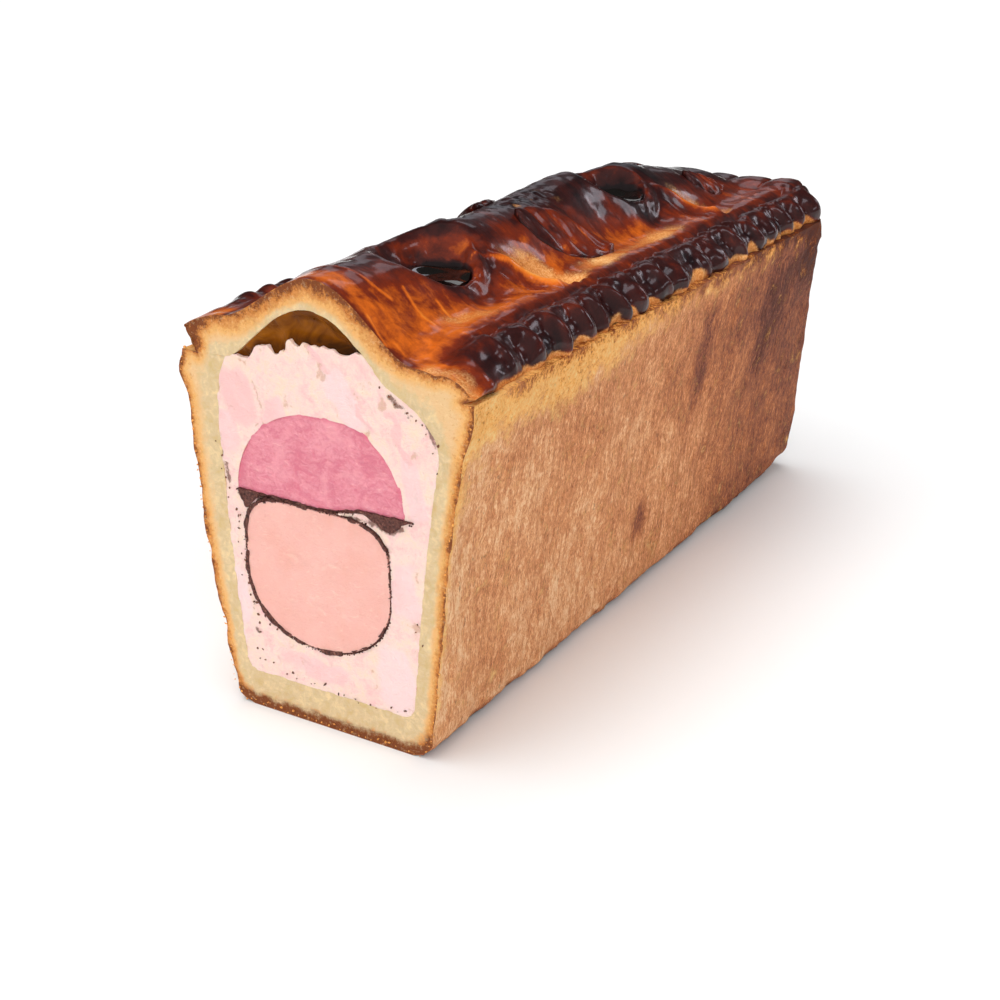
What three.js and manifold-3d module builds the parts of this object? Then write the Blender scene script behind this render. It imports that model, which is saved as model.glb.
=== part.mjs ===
// A loaf of pate en croute, cut straight across at one end: a raised pastry case under a domed,
// crimped and leaf-trimmed lid, holding forcemeat, a half-round of ham, a wrapped block of liver
// and the jelly poured in through the two vents.
// Millimetres. +Z is up and +Y runs from the cut face to the closed end.

import * as THREE from "three";
import { mergeVertices } from "three/addons/utils/BufferGeometryUtils.js";
import Module from "manifold-3d";

const wasm = await Module();
wasm.setup();
const { lerp, smoothstep, clamp } = THREE.MathUtils;

// Loaf
const LENGTH = 255; // cut face to closed end
const SEAM_HEIGHT = 104.6; // rim of the case, where the lid sits
const GAP = 0.3; // clearance between touching pieces

// Pastry case
const FOOT_HALF_WIDTH = 33.5;
const RIM_HALF_WIDTH = 46.5;
const LEAN = 1.5; // the rim stands this far to the right of the foot
const BOW = 1.5; // the middle of the walls bows this far to the left
const LIP_PROUD = 1.8; // rolled lip just under the rim
const LIP_HEIGHT = 98.5;
const LIP_REACH = 4.5;
const FOOT_RADIUS = 6;
const END_RADIUS = 9; // upright corners of the closed end
const END_DRAFT = 3; // the closed end leans in this much at the rim
const END_DRAFT_POWER = 8; // how late along the loaf that lean sets in
const BASE_THICKNESS = 11.6;
const END_THICKNESS = 10;
const WALL_FOOT = 6; // wall thickness low down
const LEFT_WALL_GAIN = 5.4; // extra thickness of the walls at the rim
const RIGHT_WALL_GAIN = 1.8;
const WALL_WAVE = 0.5; // unevenness of the baked walls
const WAVE_ALONG = 121; // lengths of its waves, along and up the walls
const WAVE_UP = 90;
const RIPPLE_ALONG = 48;
const RIPPLE_UP = 126;
const CASE_STEPS = 17;
const WALL_HEIGHTS = [SEAM_HEIGHT, 101.5, LIP_HEIGHT, 95, 86, 72, 56, 40, 24, 12, FOOT_RADIUS, 3, 1, 0];
const CORNER_STATIONS = [0.75, 0.5, 0.28, 0.1, 0]; // shares of the end radius, up to the closed end

// Ceiling of the lid and the pocket under it
const LEFT_SEAT = -29.8; // where the ceiling comes down on the case
const RIGHT_SEAT = 22.5;
const CEILING_CENTRE = -1.5;
const CEILING_RISE = 16.7;
const CEILING_END_RISE = 3; // what is left of it at the closed end
const POCKET_FALL = [150, 228]; // the ceiling comes down between these places
const JELLY_END = 182; // behind this the forcemeat fills the pocket
const POCKET_STATIONS = [0, 150, 162, JELLY_END, JELLY_END + 2 * GAP, 196, 210, 228];
const LEFT_CEILING_POWER = 1.6;
const RIGHT_CEILING_POWER = 1.25;
const SHOULDER_HEIGHT = 89; // the walls start to close in above this
const SHOULDER_BEND = 8.5;
const SHOULDER_STEPS = 6;
const SEAT_SLOPE = 1.5; // run of the shoulder for one of rise, where it meets the seat
const HOLLOW_HEIGHTS = [78, 64, 50, 36, 24];
const CORNER_RADIUS = 4;
const CORNER_TURNS = [30, 60, 90]; // degrees round the foot of the hollow
const CEILING_STEPS = 26;

// Forcemeat
const MEAT_LEVEL = 112; // top of the forcemeat under the jelly
const MEAT_STEP_X = -8.5; // ragged step down to the left of here
const MEAT_STEP = 3;
const MEAT_STEP_RUN = 1.2;
const MEAT_FALL_X = -19;
const MEAT_FALL = 4;
const MEAT_FALL_RUN = 3.5;
const RAGGED = 0.45;
const RAGGED_PITCHES = [3.7, 7.6];
const TOP_CLEARANCE = 0.8; // between the forcemeat and the ceiling, where they meet
const JELLY_FILM = 0.1; // least thickness of the jelly, at its edges
const POCKET_EDGE = 1.2; // the forcemeat's top starts this far inside the seat
const POCKET_STEPS = 38;

// Ham
const HAM_X = -0.8;
const HAM_BASE = 67.4;
const HAM_BASE_LIFT = 2.2; // its flat side steps up to the right
const HAM_LIFT_RUN = 16;
const HAM_HALF_WIDTH = 27.8;
const HAM_RISE = 25.8;
const HAM_ARC_STEPS = 26;
const HAM_BASE_STEPS = 14;

// Liver and its dark wrap
const LIVER_X = -2.5;
const LIVER_Z = 45.3;
const LIVER_HALF_WIDTH = 23.6;
const LIVER_HALF_HEIGHT = 20.5;
const LIVER_TOP_POWER = 4.5; // squarer above, rounder below
const LIVER_FOOT_POWER = 2.1;
const WRAP_THICKNESS = 1.1;
const WEDGE_FOOT = 58; // the wrap widens into wedges above this
const LEFT_WEDGE_TIP = -28.4;
const RIGHT_WEDGE_TIP = 29.6;
const WEDGE_DEPTH = 1.6;
const WEDGE_STEPS = 4;
const WEDGE_BEND_X = 0.75; // where its under side bends, as shares of the way to the foot
const WEDGE_BEND_Z = 0.35;
const LIVER_STEPS = 44;

// Lid
const CREST = 129.6;
const CREST_SWELL = 1.4; // the crest rises this much by the middle
const SWELL_RUN = [50, 100];
const CREST_FALL = 17; // and falls this much by the closed end
const FALL_START = 168;
const FALL_POWER = 1.6;
const DOME_HALF_WIDTH = 30;
const DOME_POWER = 0.8; // below 1 the dome is fuller
const LEFT_FLANK = 116; // level between the dome and the left crimp
const RIGHT_FLANK = 111.5;
const EDGE_FALL = 5.2; // drop from the flank to the lid's edge
const LID_COLUMNS = 14;
const LID_COLUMN_REACH = 29.75;

// Vents
const VENTS = [new THREE.Vector2(3, 56), new THREE.Vector2(0, 164)];
const VENT_HALF_WIDTH = 10.5;
const VENT_HALF_LENGTH = 8;
const VENT_TAPER = 0.7; // size of the hole at its foot
const VENT_FOOT = 116;
const VENT_TOP = 140;
const VENT_LIP = 1.6;
const LIP_AT = 1.45; // crown of the lip and its spread, as multiples of the hole's size
const LIP_SPREAD = 0.25;
const VENT_DISH = 2.2; // the hole sits in a shallow dish
const DISH_SPREAD = 1.1;
const VENT_SIDES = 22;
const VENT_JELLY = 125; // the jelly stands this high in the vents

// Folds behind each vent
const FOLD_BACK = 27; // how far behind the vent the fold ends
const FOLD_BEND = 11;
const FOLD_HEIGHT = 1.5;
const FOLD_WIDTH = 3.2;
const VALLEY_BEHIND = 9; // from the fold to the valley behind it
const VALLEY_DEPTH = 3;
const VALLEY_WIDTH = 7;
const FOLD_STARTS = [5, 13]; // the fold rises and dies out at these distances from the crest
const FOLD_ENDS = [24, 31];

// Crimped edge
const TOOTH_CROWNS = [8, 24, 36, 49, 63, 73, 85, 95, 112, 124, 143, 153, 170, 185, 198, 211, 224, 236];
const END_TOOTH_PITCH = 12.75; // teeth across the closed end
const CRIMP_MIDDLE = 39.8; // from the middle of the loaf
const LEFT_CRIMP_SHIFT = 2; // the left crimp stands this much further in
const CRIMP_HALF_WIDTH = 8.8;
const CRIMP_LIFT = 1; // middle of the bead above the underside of the lid
const CRIMP_RISE = 9.4;
const LEFT_CRIMP_GAIN = 1.2;
const CRIMP_TURNS = [0, 26, 54, 84, 114, 142]; // degrees round the bead, from its outer side
const CRIMP_FOOT = 2; // the foot of the bead is tucked in this far
const PINCH_DEPTH = 2.8;
const PINCH_POWER = 0.7; // how soon the pinch fades out over the top of the bead
const FURROW = 0.8; // the furrow inside the crimp, below the flank
const CRIMP_FADE = 12; // the first tooth grows over this length from the cut
const FIRST_TOOTH = 0.15; // share of its full form that it has at the cut
const TOOTH_STATIONS = [0, 0.16, 0.5, 0.84]; // places along one tooth, 0 in the pinch
const END_STATIONS = [0.5, 0.78, 0.94, 0.995]; // places down the outer side of the crimp at the closed end
const END_MEETS = [-1.6, -0.3]; // where the lid runs up to that crimp, in half widths from its crown

// Pastry leaves, by base and tip on the right flank; the left ones mirror them
const LEAVES = [
  { base: new THREE.Vector2(7, 90), tip: new THREE.Vector2(25.5, 120) },
  { base: new THREE.Vector2(6, 198), tip: new THREE.Vector2(23.5, 224) },
];
const LEAF_HALF_WIDTH = 7.4;
const LEAF_THICKNESS = 3.2;
const LEAF_EDGE = 1.5;
const LEAF_VEIN_DEPTH = 0.9;
const LEAF_VEINS = 4;
const LEAF_STEPS = 12;
const LEAF_COLUMNS = 6;
const LEAF_ROOT = 7; // the leaf's blank reaches this far into the lid before it is trimmed
const LEAF_ENDS = [0.02, 0.98]; // the blade is blunt at its base and tip
const LEAF_BELLY = 0.8; // below 1 it is widest nearer its base
const LEAF_ROUNDNESS = 0.75;

const finishes = {
  crust: new THREE.MeshStandardMaterial({ color: 0xb87848, roughness: 0.75, metalness: 0 }),
  glaze: new THREE.MeshStandardMaterial({ color: 0x7a3414, roughness: 0.28, metalness: 0 }),
  forcemeat: new THREE.MeshStandardMaterial({ color: 0xf3d3cc, roughness: 0.55, metalness: 0 }),
  ham: new THREE.MeshStandardMaterial({ color: 0xe68aa0, roughness: 0.45, metalness: 0 }),
  liver: new THREE.MeshStandardMaterial({ color: 0xf5bfb0, roughness: 0.5, metalness: 0 }),
  wrap: new THREE.MeshStandardMaterial({ color: 0x3a211c, roughness: 0.7, metalness: 0 }),
  jelly: new THREE.MeshStandardMaterial({ color: 0x6a4512, roughness: 0.15, metalness: 0 }),
};

// Solids and skins

function solidOf(geometry) {
  const bare = geometry.clone();
  bare.deleteAttribute("normal");
  bare.deleteAttribute("uv");
  const merged = mergeVertices(bare);
  const vertProperties = merged.getAttribute("position").array;
  const triVerts = Uint32Array.from(merged.getIndex().array);
  return new wasm.Manifold(new wasm.Mesh({ numProp: 3, vertProperties, triVerts }));
}

function geometryOf(solid) {
  const { vertProperties, triVerts } = solid.getMesh();
  const geometry = new THREE.BufferGeometry();
  geometry.setAttribute("position", new THREE.BufferAttribute(vertProperties, 3));
  geometry.setIndex(new THREE.BufferAttribute(triVerts, 1));
  geometry.computeVertexNormals();
  return geometry;
}

// A closed skin through rings of equal length. Each ring runs anticlockwise in X and Z seen from the cut.
function loft(rings) {
  const count = rings[0].length;
  const faces = [];
  for (let ring = 0; ring < rings.length - 1; ring++) {
    for (let corner = 0; corner < count; corner++) {
      const near = ring * count + corner;
      const nearNext = ring * count + ((corner + 1) % count);
      faces.push(near, near + count, nearNext, nearNext, near + count, nearNext + count);
    }
  }
  const lastRing = (rings.length - 1) * count;
  for (const [first, reversed] of [[0, false], [lastRing, true]]) {
    const outline = rings[first / count].map((point) => new THREE.Vector2(point.x, point.z));
    for (const [a, b, c] of THREE.ShapeUtils.triangulateShape(outline, [])) {
      faces.push(first + a, first + (reversed ? c : b), first + (reversed ? b : c));
    }
  }
  const geometry = new THREE.BufferGeometry();
  const positions = rings.flat().flatMap((point) => point.toArray());
  geometry.setAttribute("position", new THREE.Float32BufferAttribute(positions, 3));
  geometry.setIndex(faces);
  return geometry;
}

// A section drawn in X and Z, carried along Y.
function prism(shape, front, back) {
  const geometry = new THREE.ExtrudeGeometry(shape, { depth: back - front, bevelEnabled: false });
  return geometry.rotateX(Math.PI / 2).translate(0, back, 0);
}

function spread(from, to, steps) {
  return Array.from({ length: steps + 1 }, (_, step) => lerp(from, to, step / steps));
}

// Pastry case

function wallCentre(z) {
  const rise = z / SEAM_HEIGHT;
  return LEAN * rise - BOW * Math.sin(Math.PI * rise);
}

function wallHalfWidth(z) {
  return lerp(FOOT_HALF_WIDTH, RIM_HALF_WIDTH, z / SEAM_HEIGHT);
}

// How far a quarter-round of this radius has pulled in at a distance from its end.
function roundedOff(radius, distance) {
  const inside = Math.max(radius - distance, 0);
  return radius - Math.sqrt(radius * radius - inside * inside);
}

function wallWave(side, y, z) {
  const wave = Math.sin(2 * Math.PI * (y / WAVE_ALONG) + side) * Math.sin(2 * Math.PI * (z / WAVE_UP));
  const ripple = Math.sin(2 * Math.PI * (y / RIPPLE_ALONG + z / RIPPLE_UP));
  return WALL_WAVE * (wave + ripple / 2);
}

function caseRing(y) {
  const toEnd = LENGTH - y;
  const inset = roundedOff(END_RADIUS, toEnd);
  const wallPoint = (side, z) => {
    const lip = LIP_PROUD * Math.exp(-(((z - LIP_HEIGHT) / LIP_REACH) ** 2));
    const half = wallHalfWidth(z) + lip + wallWave(side, y, z) - roundedOff(FOOT_RADIUS, z) - inset;
    const lift = inset / 2;
    const draft = END_DRAFT * (z / SEAM_HEIGHT) * (y / LENGTH) ** END_DRAFT_POWER;
    return new THREE.Vector3(wallCentre(z) + side * half, y - draft, lift + z * (1 - lift / SEAM_HEIGHT));
  };
  const left = WALL_HEIGHTS.map((z) => wallPoint(-1, z));
  const right = WALL_HEIGHTS.map((z) => wallPoint(1, z)).reverse();
  return [...left, ...right];
}

function innerWall(side, z, grow) {
  const gain = side < 0 ? LEFT_WALL_GAIN : RIGHT_WALL_GAIN;
  const thickness = WALL_FOOT + gain * (z / SEAM_HEIGHT) + grow;
  return wallCentre(z) + side * (wallHalfWidth(z) - thickness);
}

// Half of the hollow in the case, from the seat of the lid down to the floor of the hollow.
function hollowSide(side, inset) {
  const seat = side < 0 ? LEFT_SEAT : RIGHT_SEAT;
  const floor = BASE_THICKNESS + inset;
  const start = new THREE.Vector2(innerWall(side, SHOULDER_HEIGHT, inset), SHOULDER_HEIGHT);
  const bend = new THREE.Vector2(start.x, SHOULDER_HEIGHT + SHOULDER_BEND - inset);
  const end = new THREE.Vector2(seat - side * inset * SEAT_SLOPE, SEAM_HEIGHT - inset);
  const shoulder = new THREE.QuadraticBezierCurve(end, bend, start).getPoints(SHOULDER_STEPS);
  const heights = [...HOLLOW_HEIGHTS, floor + CORNER_RADIUS];
  const wall = heights.map((z) => new THREE.Vector2(innerWall(side, z, inset), z));
  const cornerX = wall.at(-1).x - side * CORNER_RADIUS;
  const corner = CORNER_TURNS.map((degrees) => {
    const turn = THREE.MathUtils.degToRad(degrees);
    return new THREE.Vector2(
      cornerX + side * CORNER_RADIUS * Math.cos(turn),
      floor + CORNER_RADIUS * (1 - Math.sin(turn)),
    );
  });
  return [...shoulder, ...wall, ...corner];
}

function buildCase() {
  const rounded = CORNER_STATIONS.map((share) => LENGTH - END_RADIUS * share);
  const stations = [...spread(0, LENGTH - END_RADIUS, CASE_STEPS), ...rounded];
  const blank = solidOf(loft(stations.map(caseRing)));
  const above = SEAM_HEIGHT + END_THICKNESS;
  const hollow = new THREE.Shape([
    ...hollowSide(-1, 0),
    ...hollowSide(1, 0).reverse(),
    new THREE.Vector2(RIGHT_SEAT, above),
    new THREE.Vector2(LEFT_SEAT, above),
  ]);
  return geometryOf(blank.subtract(solidOf(prism(hollow, -GAP, LENGTH - END_THICKNESS))));
}

// Pocket under the lid

function ceiling(x, y) {
  const rise = lerp(CEILING_RISE, CEILING_END_RISE, smoothstep(y, ...POCKET_FALL));
  const seat = x < CEILING_CENTRE ? LEFT_SEAT : RIGHT_SEAT;
  const power = x < CEILING_CENTRE ? LEFT_CEILING_POWER : RIGHT_CEILING_POWER;
  const across = (x - CEILING_CENTRE) / (seat - CEILING_CENTRE);
  return SEAM_HEIGHT + rise * Math.max(1 - across * across, 0) ** power;
}

function meatTop(x, y) {
  const step = MEAT_STEP * (1 - smoothstep(x, MEAT_STEP_X - MEAT_STEP_RUN, MEAT_STEP_X));
  const fall = MEAT_FALL * (1 - smoothstep(x, MEAT_FALL_X - MEAT_FALL_RUN, MEAT_FALL_X));
  const waves = RAGGED_PITCHES.map((pitch, index) => Math.sin((2 * Math.PI * x) / pitch + index));
  const rough = RAGGED * (waves[0] + waves[1]);
  const full = ceiling(x, y) - TOP_CLEARANCE;
  return y > JELLY_END ? full : Math.min(MEAT_LEVEL - step - fall + rough, full);
}

// A section that follows the ceiling, carried along Y from the cut to its end.
function underLid(section, end) {
  const stations = [...POCKET_STATIONS.filter((y) => y < end), end];
  return loft(stations.map((y) => section(y).map((point) => new THREE.Vector3(point.x, y, point.y))));
}

// Fillings, which run from the cut to the closed end
const FILLING_END = LENGTH - END_THICKNESS - GAP;
const POCKET_COLUMNS = spread(LEFT_SEAT + POCKET_EDGE, RIGHT_SEAT - POCKET_EDGE, POCKET_STEPS);

function hamBase(x) {
  return HAM_BASE + HAM_BASE_LIFT * smoothstep(x, 0, HAM_LIFT_RUN);
}

// The round side of the ham, from right to left.
function hamArc(grow) {
  return spread(0, Math.PI, HAM_ARC_STEPS).map((turn) => {
    const x = HAM_X + (HAM_HALF_WIDTH + grow) * Math.cos(turn);
    return new THREE.Vector2(x, hamBase(x) + (HAM_RISE + grow) * Math.sin(turn));
  });
}

// The flat side of the ham, or the top of the wrap under it, from left to right.
function flatSide(from, to, drop) {
  return spread(from, to, HAM_BASE_STEPS).map((x) => new THREE.Vector2(x, hamBase(x) - drop));
}

function liverPoint(turn, grow) {
  const power = 2 / (Math.sin(turn) > 0 ? LIVER_TOP_POWER : LIVER_FOOT_POWER);
  const bend = (value) => Math.sign(value) * Math.abs(value) ** power;
  return new THREE.Vector2(
    LIVER_X + (LIVER_HALF_WIDTH + grow) * bend(Math.cos(turn)),
    LIVER_Z + (LIVER_HALF_HEIGHT + grow) * bend(Math.sin(turn)),
  );
}

function liverOutline(grow) {
  return spread(0, 2 * Math.PI, LIVER_STEPS).slice(0, -1).map((turn) => liverPoint(turn, grow));
}

// The outside of the wrap below the ham, from the left wedge round the foot to the right wedge.
function wrapUnder(grow) {
  const thickness = GAP + WRAP_THICKNESS + grow;
  const foot = liverOutline(thickness).filter((point) => point.y < WEDGE_FOOT);
  const roundFoot = (point) => Math.atan2(point.x - LIVER_X, LIVER_Z - point.y);
  foot.sort((a, b) => roundFoot(a) - roundFoot(b));
  const wedge = (tipX, drop) => new THREE.Vector2(tipX, hamBase(tipX) - GAP - drop);
  const leftTop = wedge(LEFT_WEDGE_TIP - grow, -grow);
  const leftFoot = wedge(LEFT_WEDGE_TIP - grow, WEDGE_DEPTH + grow);
  const rightTop = wedge(RIGHT_WEDGE_TIP + grow, -grow);
  const rightFoot = wedge(RIGHT_WEDGE_TIP + grow, WEDGE_DEPTH + grow);
  const curve = (tip, end) => {
    const bend = new THREE.Vector2(lerp(tip.x, end.x, WEDGE_BEND_X), lerp(tip.y, end.y, WEDGE_BEND_Z));
    return new THREE.QuadraticBezierCurve(tip, bend, end).getPoints(WEDGE_STEPS);
  };
  const left = curve(leftFoot, foot[0]).slice(0, -1);
  const right = curve(rightFoot, foot.at(-1)).slice(0, -1).reverse();
  return [leftTop, ...left, ...foot, ...right, rightTop];
}

function buildHam() {
  const [right, ...over] = hamArc(0);
  const left = over.pop();
  return prism(new THREE.Shape([...over, ...flatSide(left.x, right.x, 0)]), 0, FILLING_END);
}

function buildLiver() {
  return prism(new THREE.Shape(liverOutline(0)), 0, FILLING_END);
}

function buildWrap() {
  const [leftTop, ...under] = wrapUnder(0);
  const rightTop = under.pop();
  const shape = new THREE.Shape([...under, ...flatSide(leftTop.x, rightTop.x, GAP).reverse()]);
  shape.holes.push(new THREE.Path(liverOutline(GAP)));
  return prism(shape, 0, FILLING_END);
}

function buildForcemeat() {
  const section = (y) => {
    const top = POCKET_COLUMNS.map((x) => new THREE.Vector2(x, meatTop(x, y)));
    return [...hollowSide(-1, GAP), ...hollowSide(1, GAP).reverse(), ...top.reverse()];
  };
  const core = new THREE.Shape([...hamArc(GAP), ...wrapUnder(GAP)]);
  const bored = solidOf(underLid(section, FILLING_END)).subtract(solidOf(prism(core, -GAP, LENGTH)));
  return geometryOf(bored);
}

// What fits in a vent from its foot up to a level, this much smaller all round than the vent.
function ventPlug(vent, level, shrink) {
  const share = (level - VENT_FOOT) / (VENT_TOP - VENT_FOOT);
  const mouth = lerp(VENT_TAPER, 1, share);
  const plug = new THREE.CylinderGeometry(mouth, VENT_TAPER, level - VENT_FOOT, VENT_SIDES);
  plug.rotateX(Math.PI / 2).scale(VENT_HALF_WIDTH - 2 * shrink, VENT_HALF_LENGTH - 2 * shrink, 1);
  return plug.translate(vent.x, vent.y, (level + VENT_FOOT) / 2);
}

function buildJelly() {
  const columns = POCKET_COLUMNS.filter((x) => ceiling(x, 0) - meatTop(x, 0) > TOP_CLEARANCE + GAP);
  const section = (y) => {
    const under = columns.map((x) => new THREE.Vector2(x, meatTop(x, y) + GAP));
    const over = under.map(({ x, y: level }) => {
      return new THREE.Vector2(x, Math.max(ceiling(x, y) - 2 * GAP, level + JELLY_FILM));
    });
    return [...under, ...over.reverse()];
  };
  let jelly = solidOf(underLid(section, JELLY_END - GAP));
  for (const vent of VENTS) {
    jelly = jelly.add(solidOf(ventPlug(vent, VENT_JELLY, GAP)));
  }
  return geometryOf(jelly);
}

// Lid

function crestHeight(y) {
  const fallen = clamp((y - FALL_START) / (LENGTH - FALL_START), 0, 1) ** FALL_POWER;
  return CREST + CREST_SWELL * smoothstep(y, ...SWELL_RUN) - CREST_FALL * fallen;
}

function flankLevel(x) {
  const side = smoothstep(x, -DOME_HALF_WIDTH, DOME_HALF_WIDTH);
  const edge = EDGE_FALL * smoothstep(Math.abs(x), DOME_HALF_WIDTH, CRIMP_MIDDLE + CRIMP_HALF_WIDTH);
  return lerp(LEFT_FLANK, RIGHT_FLANK, side) - edge;
}

// Distance from a vent's middle, 1 on the rim of its hole.
function fromVent(vent, x, y) {
  return Math.hypot((x - vent.x) / VENT_HALF_WIDTH, (y - vent.y) / VENT_HALF_LENGTH);
}

// The dough is folded up behind each vent and sinks into a valley behind that fold.
function foldRelief(vent, x, y) {
  const reach = Math.abs(x - vent.x);
  const line = vent.y + FOLD_BACK * (1 - Math.exp(-reach / FOLD_BEND));
  const onFlank = smoothstep(reach, ...FOLD_STARTS) * (1 - smoothstep(reach, ...FOLD_ENDS));
  const fold = FOLD_HEIGHT * Math.exp(-(((y - line) / FOLD_WIDTH) ** 2));
  const valley = VALLEY_DEPTH * Math.exp(-(((y - line - VALLEY_BEHIND) / VALLEY_WIDTH) ** 2));
  return onFlank * (fold - valley);
}

function ventRelief(vent, x, y) {
  const distance = fromVent(vent, x, y);
  const lip = VENT_LIP * Math.exp(-(((distance - LIP_AT) / LIP_SPREAD) ** 2));
  return lip - VENT_DISH * Math.exp(-((distance / DISH_SPREAD) ** 4));
}

function lidTop(x, y) {
  const across = clamp(x / DOME_HALF_WIDTH, -1, 1);
  const dome = (0.5 + 0.5 * Math.cos(Math.PI * across)) ** DOME_POWER;
  const flank = flankLevel(x);
  const relief = VENTS.reduce((sum, vent) => sum + foldRelief(vent, x, y) + ventRelief(vent, x, y), 0);
  return flank + Math.max(crestHeight(y) - flank, 0) * dome + relief;
}

const LID_FLOOR = SEAM_HEIGHT + GAP;
const END_CRIMP = LENGTH - CRIMP_HALF_WIDTH; // crown of the crimp at the closed end

// The long edges are pinched halfway between the crowns of their teeth.
const BETWEEN_CROWNS = TOOTH_CROWNS.slice(1).map((crown, index) => (crown + TOOTH_CROWNS[index]) / 2);
const PINCHES = [0, ...BETWEEN_CROWNS, END_CRIMP];

// How hard an edge is pinched at a share of the way over a tooth: 1 between two teeth, 0 on a crown.
function pinchOver(share) {
  return 1 - Math.sqrt(Math.abs(Math.sin(Math.PI * share)));
}

function pinchAlong(y) {
  const after = PINCHES.findIndex((pinch) => pinch > y);
  return after < 1 ? 1 : pinchOver((y - PINCHES[after - 1]) / (PINCHES[after] - PINCHES[after - 1]));
}

// One long edge from its foot to its inner side. Near the cut it flattens into the slope of the lid.
function crimpPoints(side, y) {
  const middle = CRIMP_MIDDLE - (side < 0 ? LEFT_CRIMP_SHIFT : 0);
  const rise = CRIMP_RISE * (side < 0 ? LEFT_CRIMP_GAIN : 1);
  const grown = lerp(FIRST_TOOTH, 1, smoothstep(y, 0, CRIMP_FADE));
  const bead = CRIMP_TURNS.map((degrees) => {
    const turn = THREE.MathUtils.degToRad(degrees);
    const outward = (0.5 + 0.5 * Math.cos(turn)) ** PINCH_POWER;
    const radius = 1 - (PINCH_DEPTH / CRIMP_HALF_WIDTH) * pinchAlong(y) * outward * grown;
    const x = side * (middle + CRIMP_HALF_WIDTH * radius * Math.cos(turn));
    const round = LID_FLOOR + CRIMP_LIFT + rise * radius * Math.sin(turn);
    const z = Math.cos(turn) < 0 ? Math.max(round, flankLevel(x) - FURROW) : round;
    return new THREE.Vector3(x, y, lerp(Math.max(flankLevel(x), z - rise / 2), z, grown));
  });
  const foot = new THREE.Vector3(bead[0].x - CRIMP_FOOT * side, y, LID_FLOOR);
  return [foot, ...bead];
}

// The crimp at the closed end: a bead across the lid that the sheet runs up to and rolls down behind.
function endCrimp(point) {
  const along = (point.y - END_CRIMP) / CRIMP_HALF_WIDTH;
  const height = point.z - LID_FLOOR;
  const bead = CRIMP_LIFT + CRIMP_RISE - PINCH_DEPTH * pinchOver(point.x / END_TOOTH_PITCH);
  const met = smoothstep(along, ...END_MEETS);
  const level = lerp(height, Math.abs(point.x) < DOME_HALF_WIDTH ? bead : height, met);
  const rolled = along > 0 ? Math.sqrt(1 - along * along) : 1;
  return new THREE.Vector3(point.x, point.y, LID_FLOOR + level * rolled);
}

function lidRing(y, raise) {
  const columns = spread(LID_COLUMN_REACH, -LID_COLUMN_REACH, LID_COLUMNS);
  const sheet = columns.map((x) => new THREE.Vector3(x, y, lidTop(x, y)));
  const ring = [...crimpPoints(1, y), ...sheet, ...crimpPoints(-1, y).reverse()].map(endCrimp);
  ring.slice(1, -1).forEach((point) => point.setZ(point.z + raise));
  return ring;
}

function lidBlank(raise) {
  const toothAt = (tooth) => TOOTH_STATIONS.map((share) => lerp(PINCHES[tooth], PINCHES[tooth + 1], share));
  const teeth = TOOTH_CROWNS.flatMap((_, tooth) => toothAt(tooth));
  const rolled = END_STATIONS.map((share) => END_CRIMP + CRIMP_HALF_WIDTH * share);
  return solidOf(loft([...teeth, END_CRIMP, ...rolled].map((y) => lidRing(y, raise))));
}

function buildLid() {
  const pocket = (y) => [
    new THREE.Vector2(LEFT_SEAT, SEAM_HEIGHT - GAP),
    new THREE.Vector2(RIGHT_SEAT, SEAM_HEIGHT - GAP),
    ...spread(RIGHT_SEAT, LEFT_SEAT, CEILING_STEPS).map((x) => new THREE.Vector2(x, ceiling(x, y))),
  ];
  let lid = lidBlank(0).subtract(solidOf(underLid(pocket, LENGTH - END_THICKNESS)));
  for (const vent of VENTS) {
    lid = lid.subtract(solidOf(ventPlug(vent, VENT_TOP, 0)));
  }
  return geometryOf(lid);
}

// A pastry leaf pressed on the lid: a blunt-edged blade with slanting veins, trimmed to the lid under it.
function buildLeaf({ base, tip }, side) {
  const axis = tip.clone().sub(base);
  const rings = spread(...LEAF_ENDS, LEAF_STEPS).map((along) => {
    const half = LEAF_HALF_WIDTH * Math.sin(Math.PI * along ** LEAF_BELLY) ** LEAF_ROUNDNESS;
    const across = new THREE.Vector2(axis.y, -axis.x).normalize().multiplyScalar(half);
    const pointAt = (share, height) => {
      const place = base.clone().addScaledVector(axis, along).addScaledVector(across, share);
      return new THREE.Vector3(side * place.x, place.y, lidTop(side * place.x, place.y) + height);
    };
    const top = spread(1, -1, LEAF_COLUMNS).map((share) => {
      const vein = 0.5 + 0.5 * Math.cos(2 * Math.PI * (LEAF_VEINS * along - Math.abs(share)));
      const crown = LEAF_THICKNESS - LEAF_EDGE - LEAF_VEIN_DEPTH * vein;
      return pointAt(share, LEAF_EDGE + crown * (1 - share ** 4));
    });
    const ring = [pointAt(-1, -LEAF_ROOT), pointAt(1, -LEAF_ROOT), ...top];
    return side < 0 ? ring.reverse() : ring;
  });
  return geometryOf(solidOf(loft(rings)).subtract(lidBlank(GAP)));
}

// Loaf

const loaf = new THREE.Group();

function addPiece(name, geometry, finish) {
  const piece = new THREE.Mesh(geometry, finish);
  piece.name = name;
  loaf.add(piece);
}

addPiece("pastry_case", buildCase(), finishes.crust);
addPiece("pastry_lid", buildLid(), finishes.glaze);
addPiece("forcemeat", buildForcemeat(), finishes.forcemeat);
addPiece("ham", buildHam(), finishes.ham);
addPiece("liver_block", buildLiver(), finishes.liver);
addPiece("dark_wrap", buildWrap(), finishes.wrap);
addPiece("jelly", buildJelly(), finishes.jelly);
LEAVES.forEach((leaf, index) => {
  addPiece(`leaf_right_${index + 1}`, buildLeaf(leaf, 1), finishes.glaze);
  addPiece(`leaf_left_${index + 1}`, buildLeaf(leaf, -1), finishes.glaze);
});

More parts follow.
